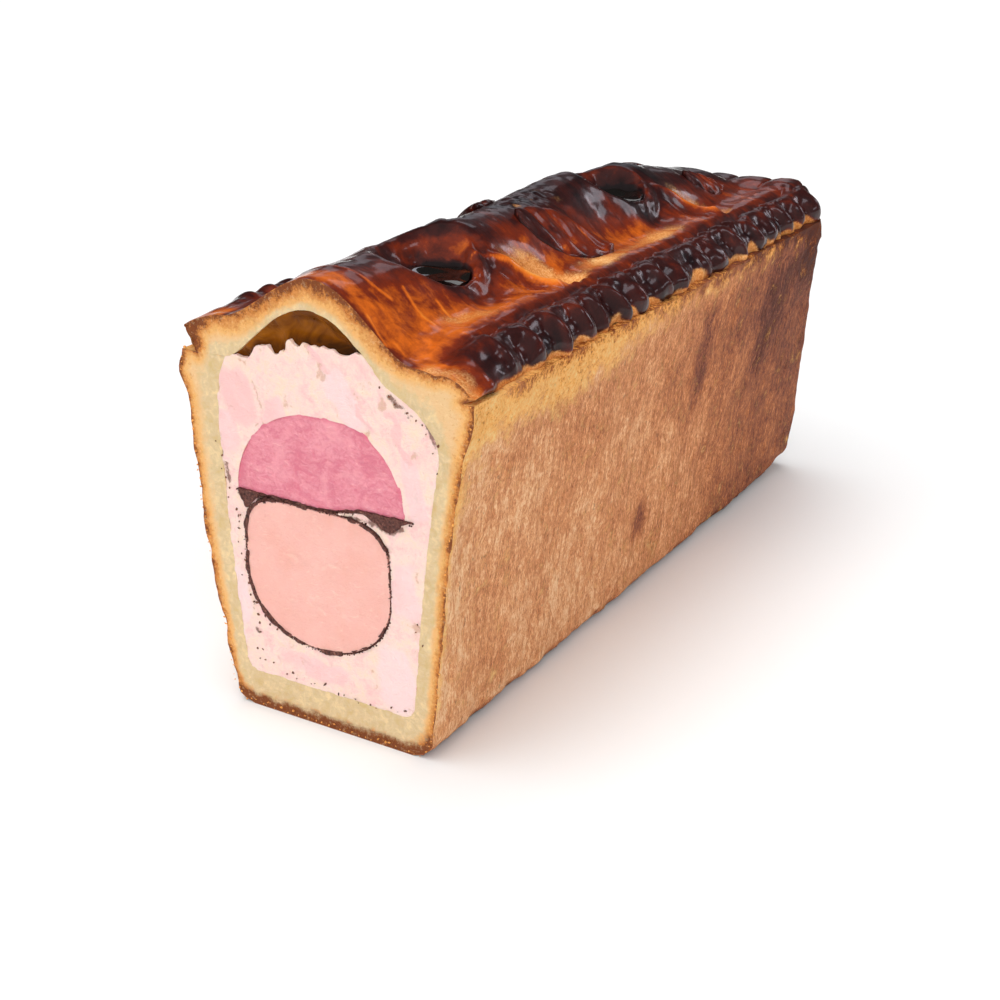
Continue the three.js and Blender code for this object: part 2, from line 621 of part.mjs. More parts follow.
// The origin is under the middle of the loaf, on the surface that it stands on.
const box = new THREE.Box3().setFromObject(loaf);
const middle = box.getCenter(new THREE.Vector3());
loaf.position.set(-middle.x, -middle.y, -box.min.z);

const part = new THREE.Group();
part.add(loaf);

export default part;
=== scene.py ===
import math

import bmesh
import bpy
import numpy as np
from bpy.props import FloatProperty, FloatVectorProperty, PointerProperty
from mathutils import Matrix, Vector
from mathutils.geometry import delaunay_2d_cdt


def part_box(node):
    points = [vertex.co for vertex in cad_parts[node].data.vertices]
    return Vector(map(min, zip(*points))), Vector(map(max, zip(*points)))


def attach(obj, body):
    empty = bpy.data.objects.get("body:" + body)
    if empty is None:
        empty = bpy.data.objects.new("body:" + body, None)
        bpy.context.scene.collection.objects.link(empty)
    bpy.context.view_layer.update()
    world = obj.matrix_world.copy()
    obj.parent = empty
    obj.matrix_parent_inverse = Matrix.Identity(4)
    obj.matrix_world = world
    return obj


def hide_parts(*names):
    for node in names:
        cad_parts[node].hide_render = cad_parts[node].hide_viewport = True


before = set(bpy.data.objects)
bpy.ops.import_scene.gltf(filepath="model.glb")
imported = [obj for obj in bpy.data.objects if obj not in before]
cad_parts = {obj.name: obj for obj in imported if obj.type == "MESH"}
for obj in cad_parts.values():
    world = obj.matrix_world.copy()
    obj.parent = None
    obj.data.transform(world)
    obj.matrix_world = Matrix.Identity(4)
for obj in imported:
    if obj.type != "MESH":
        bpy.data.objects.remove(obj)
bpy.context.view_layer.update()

bl_info = {
    "name": "Pate en croute",
    "version": (1, 0, 0),
    "blender": (4, 5, 0),
    "location": "View3D > Sidebar > Loaf",
    "description": "Crust, glaze, fillings and stage for a cut loaf of pate en croute",
    "category": "Object",
}

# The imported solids. Shapes below are in millimetres in the loaf's own frame: x to the right of its middle
# line, y from the cut face to the closed end and z up from the surface that it stands on.

MM = 0.001
BODY = "root"


def node_box(node):
    """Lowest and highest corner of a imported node, in millimetres."""
    low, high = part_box(node)
    return np.array(low) / MM, np.array(high) / MM


CASE_LOW, CASE_HIGH = node_box("pastry_case")
HAM_LOW, HAM_HIGH = node_box("ham")
LIVER_LOW, LIVER_HIGH = node_box("liver_block")
JELLY_HIGH = node_box("jelly")[1]

HAM_X = -0.8  # the ham's middle, from the middle line of the loaf
ORIGIN = np.array([(HAM_LOW[0] + HAM_HIGH[0]) / 2 - HAM_X, CASE_LOW[1], 0])
LENGTH = CASE_HIGH[1] - CASE_LOW[1]
SEAM_HEIGHT = CASE_HIGH[2]
FILLING_END = HAM_HIGH[1] - CASE_LOW[1]
JELLY_END = JELLY_HIGH[1] - CASE_LOW[1]

# Pastry case
FOOT_HALF_WIDTH, RIM_HALF_WIDTH = 33.5, 46.5
LEAN, BOW = 1.5, 1.5
LIP_PROUD, RIGHT_LIP, LIP_HEIGHT, LIP_REACH = 1.8, 0.25, 98.5, 4.5  # the lip is weaker on the right
FOOT_RADIUS = 6
END_RADIUS, END_TOP_RADIUS = 2, 16  # of the upright corners, at the foot and at the rim
END_FOOT, END_DRAFT, END_DRAFT_POWER = 5, 6.5, 8  # the closed end stands out below and leans in above
END_LEAN = 3  # the higher, the more of that lean is near the rim
CORNER_LIFT, LIFT_RUN = 3.5, 28  # the lower edge of the closed end has baked up off the table
BASE_THICKNESS = 11.6
END_THICKNESS = 10
WALL_FOOT, LEFT_WALL_GAIN, RIGHT_WALL_GAIN = 6, 5.4, 1.8
WALL_WAVE = 0.5
WAVE_ALONG, WAVE_UP = 121, 90
RIPPLE_ALONG, RIPPLE_UP = 48, 126
WALL_ROWS, ROW_POWER = 84, 0.9  # the rows lie a little closer together towards the foot
BASE_ROWS = 30
CASE_STATIONS, CORNER_STATIONS = 300, 14
CUT_ROWS = 14
CRUST_DRYNESS = 1.2  # of the crust itself, at the edge of the cut
LID_TOAST, BASE_TOAST = 0.5, 0.15  # the crust is toasted deeper at the lid and the base
TIP_SCORCH, BASE_SCORCH, CREST_SCORCH = 1.5, 2.6, 0.8  # darkening at the left tip, base and crest
RIM_STAIN = 0.42  # how far glaze has browned the wall under the pleats
MATT_PLEATS = 0.8  # how much of its shine the glaze loses on the lower half of a pleat
BASE_MOISTURE, SHOULDER_DRYNESS, LID_DRYNESS = 1.6, 0.2, 0.36  # how far the filling has moistened the dough

# Pocket under the lid
LEFT_SEAT, RIGHT_SEAT = -29.8, 22.5
CEILING_CENTRE, CEILING_RISE, CEILING_END_RISE = -1.5, 16.7, 0
POCKET_FALL = (150, 228)
LEFT_CEILING_POWER, RIGHT_CEILING_POWER = 1.6, 1.25
SHOULDER_HEIGHT, SHOULDER_BEND = 89, 8.5
CORNER_RADIUS = 4
MEAT_LEVEL = 112
MEAT_BITE = 0.15  # the forcemeat reaches this far into the dough
MEAT_STEP_X, MEAT_STEP, MEAT_STEP_RUN = -8.5, 3, 1.2
MEAT_FALL_X, MEAT_FALL, MEAT_FALL_RUN = -19, 4, 3.5

# Ham, liver and wrap
HAM_BASE = HAM_LOW[2]
HAM_HALF_WIDTH = (HAM_HIGH[0] - HAM_LOW[0]) / 2
HAM_RISE = HAM_HIGH[2] - HAM_BASE
HAM_BASE_LIFT, HAM_LIFT_RUN = 2.2, 16
LIVER_X = (LIVER_LOW[0] + LIVER_HIGH[0]) / 2 - ORIGIN[0]
LIVER_Z = (LIVER_LOW[2] + LIVER_HIGH[2]) / 2
LIVER_HALF_WIDTH = (LIVER_HIGH[0] - LIVER_LOW[0]) / 2
LIVER_HALF_HEIGHT = (LIVER_HIGH[2] - LIVER_LOW[2]) / 2
LIVER_TOP_POWER, LIVER_FOOT_POWER = 4.5, 2.1
WRAP_THICKNESS, THICKEST = 0.9, 215  # at most, and the degrees round the liver where that is
WRAP_GAP = 0.3
LEFT_WEDGE_TIP, RIGHT_WEDGE_TIP = -28.6, 29.6
WEDGES = ((3.8, 22.5, 5), (4.2, -25.5, 3))  # depth, middle and width
STRIP = 1.2  # thickness of the wrap under the ham
LEFT_JOIN, RIGHT_JOIN = 136, 72  # degrees round the liver where the wrap joins the strip under the ham
LEFT_JOIN_X, RIGHT_JOIN_X = -21.5, 5
UNDER_WRAP = 0.3  # the forcemeat reaches this far under the wrap at the cut

# Lid
CREST, CREST_SWELL, SWELL_RUN = 129.6, 1.8, (20, 45)
CREST_HUMP, HUMP_AT, HUMP_LENGTH = 3.4, 136, 31
CREST_FALL, FALL_START, FALL_POWER = 17, 155, 1.4
DOME_HALF_WIDTH, DOME_POWER = 30, 0.8
LEFT_FLANK, RIGHT_FLANK, EDGE_FALL = 116, 111.5, 5.2
EDGE_FILL, FILL_AT, FILL_WIDTH, FILL_RUN = 5, 32, 7.5, (3, 24, 225, 245)
SHEET_REACH = 29.75
VENTS = ((6.2, 48, 121), (5.5, 156, 124.2))  # middle and height of each rim
VENT_HALF_WIDTH, VENT_HALF_LENGTH = 10.5, 10
VENT_WELL, WELL_FOOT, WELL_MOUTH = 4.5, 0.72, 0.98  # depth, and the sizes where its wall ends and starts
POOL_DEPTH, POOL_SIZE = 1.5, 0.92  # of the jelly in the vents: depth under the rim, and share of its size
SOCKET_TILT, SOCKET_SLOPE, SOCKET_BLEND = 0.2, 1.4, 1.0  # the lid falls steeply to the rim from behind
HOOD_HEIGHT, HOOD_AT, HOOD_SPREAD, HOOD_RUN = 0.6, 2.0, 0.6, (-2, 9)
LEFT_BULGE, BULGE_AT, BULGE_WIDTH, BULGE_RUN = 1.6, -15, 10, (2, 16, 40, 70)
FOLD_BACK, FOLD_BEND, LEFT_FOLD = 30, 11, 0.3
FOLD_HEIGHT, FOLD_WIDTH = 2.2, 2.6
VALLEY_BEHIND, VALLEY_DEPTH, VALLEY_WIDTH = 9.5, 3, 6.5
FOLD_STARTS, FOLD_ENDS = (5, 13), (24, 31)
FOLD_CHANGE = 4  # the fold goes from weak to full this far to each side of the vent's middle
FOLD_STEP_RUN = (1.6, 2.8, 5, 12)
GROOVE_DEPTH, GROOVE_AHEAD, GROOVE_WIDTH, GROOVE_RUN = 0.9, 6.5, 1.3, (8, 14)  # in front of a fold
ROOF_START, ROOF_DROP = 25, 7  # from here the lid is this much thicker than at the cut
TORN_LEAF_AT, TORN_LEAF_SLANT, TORN_LEAF_WIDTH = 90, 0.25, 5  # the torn leaf along the crest
TORN_LEAF_RUN = (86, 93, 110, 119)
MOUND_RISE, MOUND_ACROSS, MOUND_ALONG = 3, (17, 8), (130, 12)  # between the vents: middle and width
RIM_ROUGHNESS, BROW_RISE, CHEEK_RISE = 0.6, 0.8, 1.8  # round the vents

# Creases in the glaze, on both flanks alike
CREASES = (
    ((0, 12.6), (3.7, 13.4), (9.7, 13.6), (14.1, 15.2)),
    ((12.7, 22.6), (18.1, 20.9), (23.1, 20.7)),
    ((18.4, 30.5), (22.8, 28.8)),
    ((15.8, 2.9), (22, 0.6)),
    ((11.5, 58), (14.5, 62), (18, 66.5), (24.5, 73)),
)
CREASE_WIDTH, CREASE_DEPTH = 0.5, 0.15

# Crimped edge
TOOTH_CROWNS = (8, 24, 36, 49, 63, 73, 85, 95, 112, 124, 143, 153, 170, 185, 198, 211, 224, 236)
END_TOOTH_PITCH = 12.75
CRIMP_MIDDLE, LEFT_CRIMP_SHIFT, CRIMP_HALF_WIDTH = 39.8, 2, 8.8
CRIMP_LIFT, CRIMP_RISE, LEFT_CRIMP_GAIN = 1, 9.4, 1.08
CRIMP_TURNS = (-36, 142)  # degrees round the bead, from its outer side
CRIMP_FOOT = 2
BLUNT_TIP, BLUNT_RUN = 0.66, 14  # share of its reach that the left edge has at the cut, and its run to full
PINCH_DEPTH = 1.2
TOOTH_WIDTH, TOOTH_DEPTH = 0.24, 3.4  # width of a pleat as a share of the pitch, and depth of the gaps
TOOTH_SLANT = 1  # the ridges lean back this much on their way down
TOOTH_WANDER, TOOTH_HANG = 1.0, 13  # how far the ridges stray, and in degrees how unevenly they end
TOOTH_END, TOOTH_ROUNDNESS = 60, 0.7  # degrees over which the pleats round off at their lower ends
TOOTH_UNEVEN = 0.15  # half of the difference between high and low pleats, as a share
TOOTH_WRINKLE, WRINKLE_SIZE = 0.13, (9, 3, 14)
SIDES_APART = 20  # so that the two long edges differ
LEFT_GROOVES = 0.3
TOOTH_SIDE = (-0.2, 0.45)  # the grooves run out over the top of the bead
FURROW = 0.3
CRIMP_FADE, FIRST_TOOTH = 22, 0.1
END_CRIMP = LENGTH - CRIMP_HALF_WIDTH - 5
END_GAIN, LID_CORNER = 2, 9  # the crimp across the end is this much higher; radius of the lid's corners
LID_CORNER_RUN, END_BEAD_ENDS = (25, 46), (36, 46)
END_MEETS = (-1.6, -0.3)
END_ROLL, ROLL_POWER = 0.995, 4
BEAD_COLUMNS = 40
SHEET_COLUMNS = 112
LID_STATIONS = 440

# Pastry leaves, by base and tip on the right flank
LEAVES = (((7.5, 88), (25.5, 118), 7), ((10, 200), (18.5, 217), 5))  # base, tip and half width
LEAF_THICKNESS, LEAF_EDGE = 2.2, 0.3
LEAF_SLASH, LEAF_VEINS, LEAF_RAGGED = 1.35, 4, 0.14
LEAF_ENDS, LEAF_BELLY, LEAF_ROUNDNESS = (0.02, 0.98), 0.8, 0.75
LEAF_ROOT = 1.5
LEAF_STEPS, LEAF_COLUMNS = 72, 36


# Numbers and relief


def lerp(first, second, share):
    return first + (second - first) * share


def smooth(value, low, high):
    """0 below low, 1 above high and smooth in between."""
    share = np.clip((value - low) / (high - low), 0, 1)
    return share * share * (3 - 2 * share)


def plateau(value, rise, full, fade, gone):
    """1 from full to fade, and 0 before rise and after gone."""
    return smooth(value, rise, full) * (1 - smooth(value, fade, gone))


def mound(value, centre, width):
    """A bell of height 1 about its centre."""
    return np.exp(-(((value - centre) / width) ** 2))


def lattice(cells, seed):
    """A fixed random number from -1 to 1 for each cell of a lattice."""
    mixed = cells @ np.array([73856093, 19349663, 83492791]) + seed * 6542989
    mixed = ((mixed ^ (mixed >> 13)) * 60493) & 0x7FFFFFFF
    mixed = ((mixed ^ (mixed >> 15)) * 19990303) & 0x7FFFFFFF
    return (mixed ^ (mixed >> 11)) % 65536 / 32767.5 - 1


def lumps(points, size, seed):
    """Smooth random relief from -1 to 1 with lumps of about this size, one number or one for each axis."""
    place = np.asarray(points, float) / size
    cell = np.floor(place).astype(np.int64)
    share = place - cell
    share = share * share * (3 - 2 * share)
    total = 0
    for corner in np.ndindex(2, 2, 2):
        weight = np.prod(np.where(corner, share, 1 - share), axis=-1)
        total = total + weight * lattice(cell + np.array(corner), seed)
    return total


def rough(points, size, octaves, seed):
    """Lumps with finer lumps on them."""
    return sum(lumps(points, np.array(size) / 2**step, seed + step) / 2**step for step in range(octaves))


def raised(grid, height):
    """A grid of points moved out along its own normals."""
    normal = np.cross(np.gradient(grid, axis=0), np.gradient(grid, axis=1))
    normal /= np.maximum(np.linalg.norm(normal, axis=-1, keepdims=True), 1e-9)
    return grid + normal * height[..., None]


def placed(x, y, z):
    """Points from coordinates that broadcast together."""
    return np.stack(np.broadcast_arrays(x, y, z), axis=-1).astype(float)


def section(x, z):
    """Points of an outline in the plane of the cut."""
    return np.stack([x, z], axis=1)


def on_cut(points, depth=0.0):
    """Points of such an outline in the loaf's frame, pushed in by some depth."""
    return placed(points[..., 0], depth, points[..., 1])


def border(numbers):
    """Both long edges of a sheet and the far end between them, as one row."""
    return np.r_[numbers[:, 0], numbers[-1, 1:], numbers[-2::-1, -1]]


def resampled(line, count):
    """A line of points with this many points, evenly spaced along it."""
    line = np.asarray(line, float)
    along = np.r_[0, np.cumsum(np.linalg.norm(np.diff(line, axis=0), axis=1))]
    even = np.linspace(0, along[-1], count)
    return np.stack([np.interp(even, along, line[:, axis]) for axis in range(line.shape[1])], axis=1)


def inside(points, outline):
    """Which of these points lie inside a closed outline."""
    x, z = points[:, 0, None], points[:, 1, None]
    x0, z0 = outline[:, 0], outline[:, 1]
    x1, z1 = np.roll(x0, -1), np.roll(z0, -1)
    rise = np.where(z1 == z0, 1, z1 - z0)
    crossed = ((z0 > z) != (z1 > z)) & (x < x0 + (z - z0) / rise * (x1 - x0))
    return crossed.sum(axis=1) % 2 == 1


def within_rings(points, rings):
    """Which of these points lie inside the first outline and outside the others, which are holes in it."""
    kept = inside(points, rings[0])
    for hole in rings[1:]:
        kept &= ~inside(points, hole)
    return kept


def distance(points, line):
    """Distance of each point from the nearest of a line's points."""
    blocks = np.array_split(points, len(points) // 1500 + 1)
    return np.concatenate([np.linalg.norm(part[:, None] - line[None], axis=2).min(axis=1) for part in blocks])


# Shares of the spacing by which loose points on the cut stray and keep off the edge
CAP_JITTER, CAP_CLEARANCE = 0.32, 0.55


class Skin:
    """Points, faces and point values of one piece, gathered patch by patch in the loaf's frame."""

    def __init__(self, *values):
        self.points, self.faces, self.finishes = [], [], []
        self.values = {name: [] for name in values}
        self.count = 0

    def patch(self, points, **values):
        """Adds an array of points and returns their numbers in the same arrangement."""
        points = np.asarray(points, float)
        shape = points.shape[:-1]
        for name, kept in self.values.items():
            kept.append(np.broadcast_to(values.get(name, 0), shape).ravel())
        self.points.append(points.reshape(-1, 3))
        first, self.count = self.count, self.count + math.prod(shape)
        return np.arange(first, self.count).reshape(shape)

    def add(self, faces, finish=0):
        faces = [list(map(int, face)) for face in faces]
        self.faces += faces
        self.finishes += [finish] * len(faces)

    def grid(self, numbers, finish=0):
        corners = (numbers[:-1, :-1], numbers[:-1, 1:], numbers[1:, 1:], numbers[1:, :-1])
        self.add(np.stack(corners, axis=-1).reshape(-1, 4), finish)

    def tube(self, first, second):
        """Joins two closed rings with equally many points."""
        self.grid(np.stack([np.r_[ring, ring[:1]] for ring in (first, second)]))

    def seam(self, first, second):
        """Closes the gap between two rows of unequal length."""
        near, far = 0, 0
        while near < len(first) - 1 or far < len(second) - 1:
            if (near + 1) * (len(second) - 1) <= (far + 1) * (len(first) - 1):
                self.add([(first[near], first[near + 1], second[far])])
                near += 1
            else:
                self.add([(first[near], second[far + 1], second[far])])
                far += 1

    def cap(self, rings, spacing, seed, shape):
        """Fills an outline at the cut, with any holes in it. Shape gives the new points and their values."""
        points = np.concatenate(self.points)
        flat = [points[ring][:, [0, 2]] for ring in rings]
        low, high = flat[0].min(axis=0), flat[0].max(axis=0)
        draw = np.random.default_rng(seed)
        columns = np.arange(low[0], high[0], spacing)
        rows = np.arange(low[1], high[1], spacing)
        loose = np.stack(np.meshgrid(columns, rows), axis=-1).reshape(-1, 2)
        loose += draw.uniform(-CAP_JITTER, CAP_JITTER, loose.shape) * spacing
        loose = loose[within_rings(loose, flat)]
        loose = loose[distance(loose, np.concatenate(flat)) > CAP_CLEARANCE * spacing]
        made, values = shape(loose)
        numbers = np.concatenate([*rings, self.patch(made, **values)])
        edges, first = [], 0
        for ring in rings:
            around = np.arange(first, first + len(ring))
            edges += np.stack([around, np.roll(around, -1)], axis=1).tolist()
            first += len(ring)
        verts, _, faces, sources, _, _ = delaunay_2d_cdt(
            np.concatenate([*flat, loose]).tolist(), edges, [], 0, 1e-5)
        middles = np.array([np.mean([verts[corner] for corner in face], axis=0) for face in faces])
        shown = [face for face, kept in zip(faces, within_rings(middles, flat)) if kept]
        self.add([[numbers[sources[corner][0]] for corner in face] for face in shown])

    def piece(self, name, finishes, sharp=50):
        """The finished object, turned outwards, with edges sharp from this many degrees."""
        mesh = bpy.data.meshes.new(name)
        mesh.from_pydata(((np.concatenate(self.points) + ORIGIN) * MM).tolist(), [], self.faces)
        for value, kept in self.values.items():
            attribute = mesh.attributes.new(value, "FLOAT", "POINT")
            attribute.data.foreach_set("value", np.concatenate(kept).astype(np.float32))
        for finish in finishes:
            mesh.materials.append(finish)
        mesh.polygons.foreach_set("material_index", np.array(self.finishes, np.int32))
        turned = bmesh.new()
        turned.from_mesh(mesh)
        bmesh.ops.recalc_face_normals(turned, faces=turned.faces)
        turned.to_mesh(mesh)
        turned.free()
        mesh.shade_smooth()
        mesh.set_sharp_from_angle(angle=math.radians(sharp))
        piece = bpy.data.objects.new(name, mesh)
        bpy.context.scene.collection.objects.link(piece)
        return piece


def settle(piece, slot, *nodes):
    """Makes a piece part of the loaf, in place of these nodes."""
    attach(piece, BODY)
    if nodes:
        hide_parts(*nodes)


# Shader maths


class Shade:
    """A socket of a material's node tree. Arithmetic on it adds Math nodes."""

    def __init__(self, tree, socket=None):
        self.tree, self.socket = tree, socket

    def node(self, kind, settings=None, inputs=None, output=0):
        """Adds a node, sets it up, fills or links its inputs and gives one of its outputs."""
        made = self.tree.nodes.new(kind)
        for name, value in (settings or {}).items():
            if name == "stops":
                self.set_stops(made.color_ramp, value)
            else:
                setattr(made, name, value)
        for name, value in (inputs or {}).items():
            if isinstance(value, Shade):
                self.tree.links.new(value.socket, made.inputs[name])
            else:
                made.inputs[name].default_value = value
        return Shade(self.tree, made.outputs[output])

    @staticmethod
    def set_stops(ramp, stops):
        while len(ramp.elements) < len(stops):
            ramp.elements.new(1)
        for element, (place, colour) in zip(ramp.elements, stops):
            element.position = place
            element.color = (*colour[:3], 1)

    def math(self, operation, first, second=0.0):
        return self.node("ShaderNodeMath", {"operation": operation}, {0: first, 1: second})

    def __add__(self, other):
        return self.math("ADD", self, other)

    def __sub__(self, other):
        return self.math("SUBTRACT", self, other)

    def __rsub__(self, other):
        return self.math("SUBTRACT", other, self)

    def __mul__(self, other):
        return self.math("MULTIPLY", self, other)

    def __truediv__(self, other):
        return self.math("DIVIDE", self, other)

    __radd__ = __add__
    __rmul__ = __mul__

    def between(self, low, high):
        """0 below low, 1 above high and smooth in between."""
        settings = {"interpolation_type": "SMOOTHSTEP"}
        return self.node("ShaderNodeMapRange", settings, {0: self, 1: low, 2: high, 3: 0.0, 4: 1.0})

    def mix(self, first, second):
        """From the first colour to the second as this value goes from 0 to 1."""
        inputs = {0: self, 6: first, 7: second}
        return self.node("ShaderNodeMix", {"data_type": "RGBA", "clamp_factor": True}, inputs, 2)

    def ramp(self, *stops):
        return self.node("ShaderNodeValToRGB", {"stops": stops}, {0: self})

    def stretched(self, x, y, z):
        return self.node("ShaderNodeVectorMath", {"operation": "MULTIPLY"}, {0: self, 1: (x, y, z)})

    def noise(self, size, detail=2.0, roughness=0.5, distortion=0.0):
        """Cloudy noise from 0 to 1 whose patches are about this many millimetres across."""
        inputs = {"Vector": self, "Scale": 1 / (size * MM), "Detail": detail}
        inputs.update({"Roughness": roughness, "Distortion": distortion})
        return self.node("ShaderNodeTexNoise", None, inputs)

    def swing(self, strength):
        """Noise from 0 to 1 as a swing of this size in all about nothing."""
        return (self - 0.5) * strength

    def tint(self, colour, share, added):
        """A colour with up to this share of another in it, where this value is 1."""
        return (self * share).mix(colour, opaque(added))

    def value(self, name):
        """A point value of the piece."""
        return self.node("ShaderNodeAttribute", {"attribute_name": name}, None, 2)


def start_material(name):
    """A new material: its shader node, an empty socket to start from and Object coordinates."""
    material = bpy.data.materials.new(name)
    material.use_nodes = True
    tree = material.node_tree
    shader = next(node for node in tree.nodes if node.type == "BSDF_PRINCIPLED")
    blank = Shade(tree)
    return material, shader, blank, blank.node("ShaderNodeTexCoord", None, None, 3)


def finish_material(shader, links, constants):
    """Links the sockets that vary over the surface and sets the ones that don't."""
    for name, value in links.items():
        value.tree.links.new(value.socket, shader.inputs[name])
    for name, value in constants.items():
        shader.inputs[name].default_value = value


def bumped(height, depth):
    """A normal from a height that varies by about one, this many millimetres deep."""
    return height.node("ShaderNodeBump", None, {"Strength": 1.0, "Distance": depth * MM, "Height": height})


def paint(red, green, blue):
    """A colour as seen on screen, made linear."""
    return tuple(((level / 255 + 0.055) / 1.055) ** 2.4 if level > 10 else level / 255 / 12.92
                 for level in (red, green, blue))


def opaque(colour):
    return (*colour[:3], 1.0)


# What a user would change


def colour_property(name, description, red, green, blue):
    return FloatVectorProperty(
        name=name, description=description, subtype="COLOR", min=0, max=1, default=paint(red, green, blue))


def length_property(name, description, millimetres):
    return FloatProperty(
        name=name, description=description, unit="LENGTH", precision=5, default=millimetres * MM)


def angle_property(name, description, degrees):
    return FloatProperty(name=name, description=description, subtype="ANGLE", default=math.radians(degrees))


def power_property(name, description, watts):
    return FloatProperty(name=name, description=description, unit="POWER", default=watts)


def strength_property(name, description, strength):
    return FloatProperty(name=name, description=description, default=strength)


class LoafRelief(bpy.types.PropertyGroup):
    """Heights of the surface relief"""

    fibre: length_property("Fibres", "Height of the upright fibres on the walls", 0.16)
    wall_lumps: length_property("Wall lumps", "Height of the lumps on the walls", 0.45)
    flakes: length_property("Flakes", "Height of the flaky crust under the rim", 0.7)
    glaze_lumps: length_property("Glaze lumps", "Height of the unevenness of the glazed lid", 0.5)
    fold_edge: length_property("Fold edge", "Height of the step behind each fold", 1.3)
    cut: length_property("Cut", "Roughness of the cut faces", 0.22)
    ragged: length_property("Ragged edge", "Raggedness of the top of the forcemeat", 0.8)


class LoafColours(bpy.types.PropertyGroup):
    """Colours of the crust, the glaze and the fillings"""

    gold: colour_property("Gold crust", "Crust that has hardly browned", 252, 180, 94)
    tan: colour_property("Tan crust", "Lightly browned crust", 232, 160, 108)
    brown: colour_property("Brown crust", "Browned crust", 190, 116, 74)
    dark: colour_property("Dark crust", "Crust at its darkest", 84, 44, 34)
    toast: colour_property("Toast", "Cut dough just under the crust", 204, 130, 62)
    dough: colour_property("Dough", "Cut dough", 233, 192, 140)
    moist_dough: colour_property("Moist dough", "Cut dough beside the filling", 218, 192, 150)
    amber: colour_property("Amber glaze", "Glaze over golden crust", 206, 98, 22)
    chestnut: colour_property("Chestnut glaze", "Glaze over brown crust", 116, 38, 12)
    mahogany: colour_property("Mahogany glaze", "Glaze over dark crust", 56, 19, 16)
    black: colour_property("Black glaze", "Glaze at its darkest", 20, 8, 10)
    flour: colour_property("Flour", "Unglazed crust in the folds", 220, 146, 78)
    forcemeat: colour_property("Forcemeat", "Fine forcemeat", 242, 210, 199)
    chunk: colour_property("Chunk", "Pink chunks in the forcemeat", 240, 192, 188)
    pale_chunk: colour_property("Pale chunk", "Pale chunks in the forcemeat", 241, 210, 207)
    fat: colour_property("Fat", "Creamy part of the forcemeat", 242, 212, 188)
    ham: colour_property("Ham", "Ham", 214, 116, 134)
    pale_ham: colour_property("Pale ham", "Paler fibres of the ham", 234, 154, 164)
    liver: colour_property("Liver", "Block of liver", 238, 180, 168)
    wrap: colour_property("Wrap", "Dark wrap", 88, 52, 46)
    jelly: colour_property("Jelly", "Jelly in the light", 144, 82, 6)
    shaded_jelly: colour_property("Deep jelly", "Jelly in the shade", 60, 30, 4)
    floor: colour_property("Floor", "Floor under the loaf", 246, 246, 246)


class LoafStage(bpy.types.PropertyGroup):
    """Camera and lights"""

    yaw: angle_property("Yaw", "Camera's turn round the loaf", 30.977)
    pitch: angle_property("Pitch", "Camera's height above the horizon", 22.594)
    lens: FloatProperty(name="Lens", description="Focal length", subtype="DISTANCE_CAMERA", default=56.37)
    side: length_property("Side", "Camera's distance to the right of the middle line", 237.89)
    back: length_property("Back", "Camera's distance from the plane of the cut", 304.03)
    height: length_property("Height", "Camera's height", 229.21)
    key: strength_property("Key light", "Strength of the light from the left", 1.0)
    fill: strength_property("Fill light", "Strength of the light from the right", 0.9)
    front: strength_property("Front light", "Strength of the light from the front", 1.1)
    top: strength_property("Top light", "Strength of the light from above", 1.6)
    rear: power_property("Rear light", "Power of the panel behind", 0.4)
    right: power_property("Right panel", "Power of the panel on the right", 0.6)
    strip: power_property("Slanted strip", "Power of the strip low behind on the right", 0.6)
    corner: power_property("Corner panel", "Power of the panel behind on the right", 0.9)
    overhead: power_property("Overhead panel", "Power of the panel above on the right", 0.8)
    high: power_property("High panel", "Power of the panel high behind", 0.45)
    sky: strength_property("Sky", "Strength of the light from the front half", 0.35)
    gloom: strength_property("Gloom", "Strength of the light from the rear half", 0.04)


# Materials

TOAST_DEPTH = 6  # millimetres from the crust to plain dough
# How far light sinks into the meats
MEAT_GLOW = {"Subsurface Weight": 0.15, "Subsurface Scale": 0.002}


def cut_dough_material(colours):
    material, shader, blank, coords = start_material("cut_dough")
    depth, dry = blank.value("depth"), blank.value("dry")
    wander = coords.noise(4, 4.0, 0.6)
    crumb = coords.noise(0.8, 4.0, 0.7)
    inward = depth + wander.swing(3.5) + crumb.swing(3.0)
    baked = (inward / TOAST_DEPTH).ramp(
        (0.0, paint(126, 66, 30)), (0.12, colours.toast), (0.36, paint(236, 178, 106)), (0.75, colours.dough))
    drying = dry + wander.swing(0.6) + crumb.swing(0.25)
    pores = coords.noise(1.1, 3.0, 0.65).between(0.56, 0.68) * drying.between(0.5, 0.8)
    dried = pores.tint(baked, 0.5, colours.toast)
    moist = (coords.noise(3, 4.0, 0.6, 0.6) + crumb.swing(0.3)).ramp(
        (0.3, paint(214, 184, 130)), (0.5, colours.moist_dough), (0.7, paint(238, 210, 160)))
    colour = drying.between(0.4, 0.7).mix(moist, dried)
    flecks = coords.noise(1.3, 4.0, 0.65).between(0.55, 0.66) * drying.between(0.3, 0.6)
    colour = flecks.tint(colour, 0.2, paint(250, 222, 172))
    finish_material(
        shader, {"Base Color": colour, "Roughness": 0.45 + crumb * 0.4, "Normal": bumped(crumb, 0.5)},
        {"Specular IOR Level": 0.3, "Subsurface Weight": 0.1, "Subsurface Scale": 0.0015})
    return material


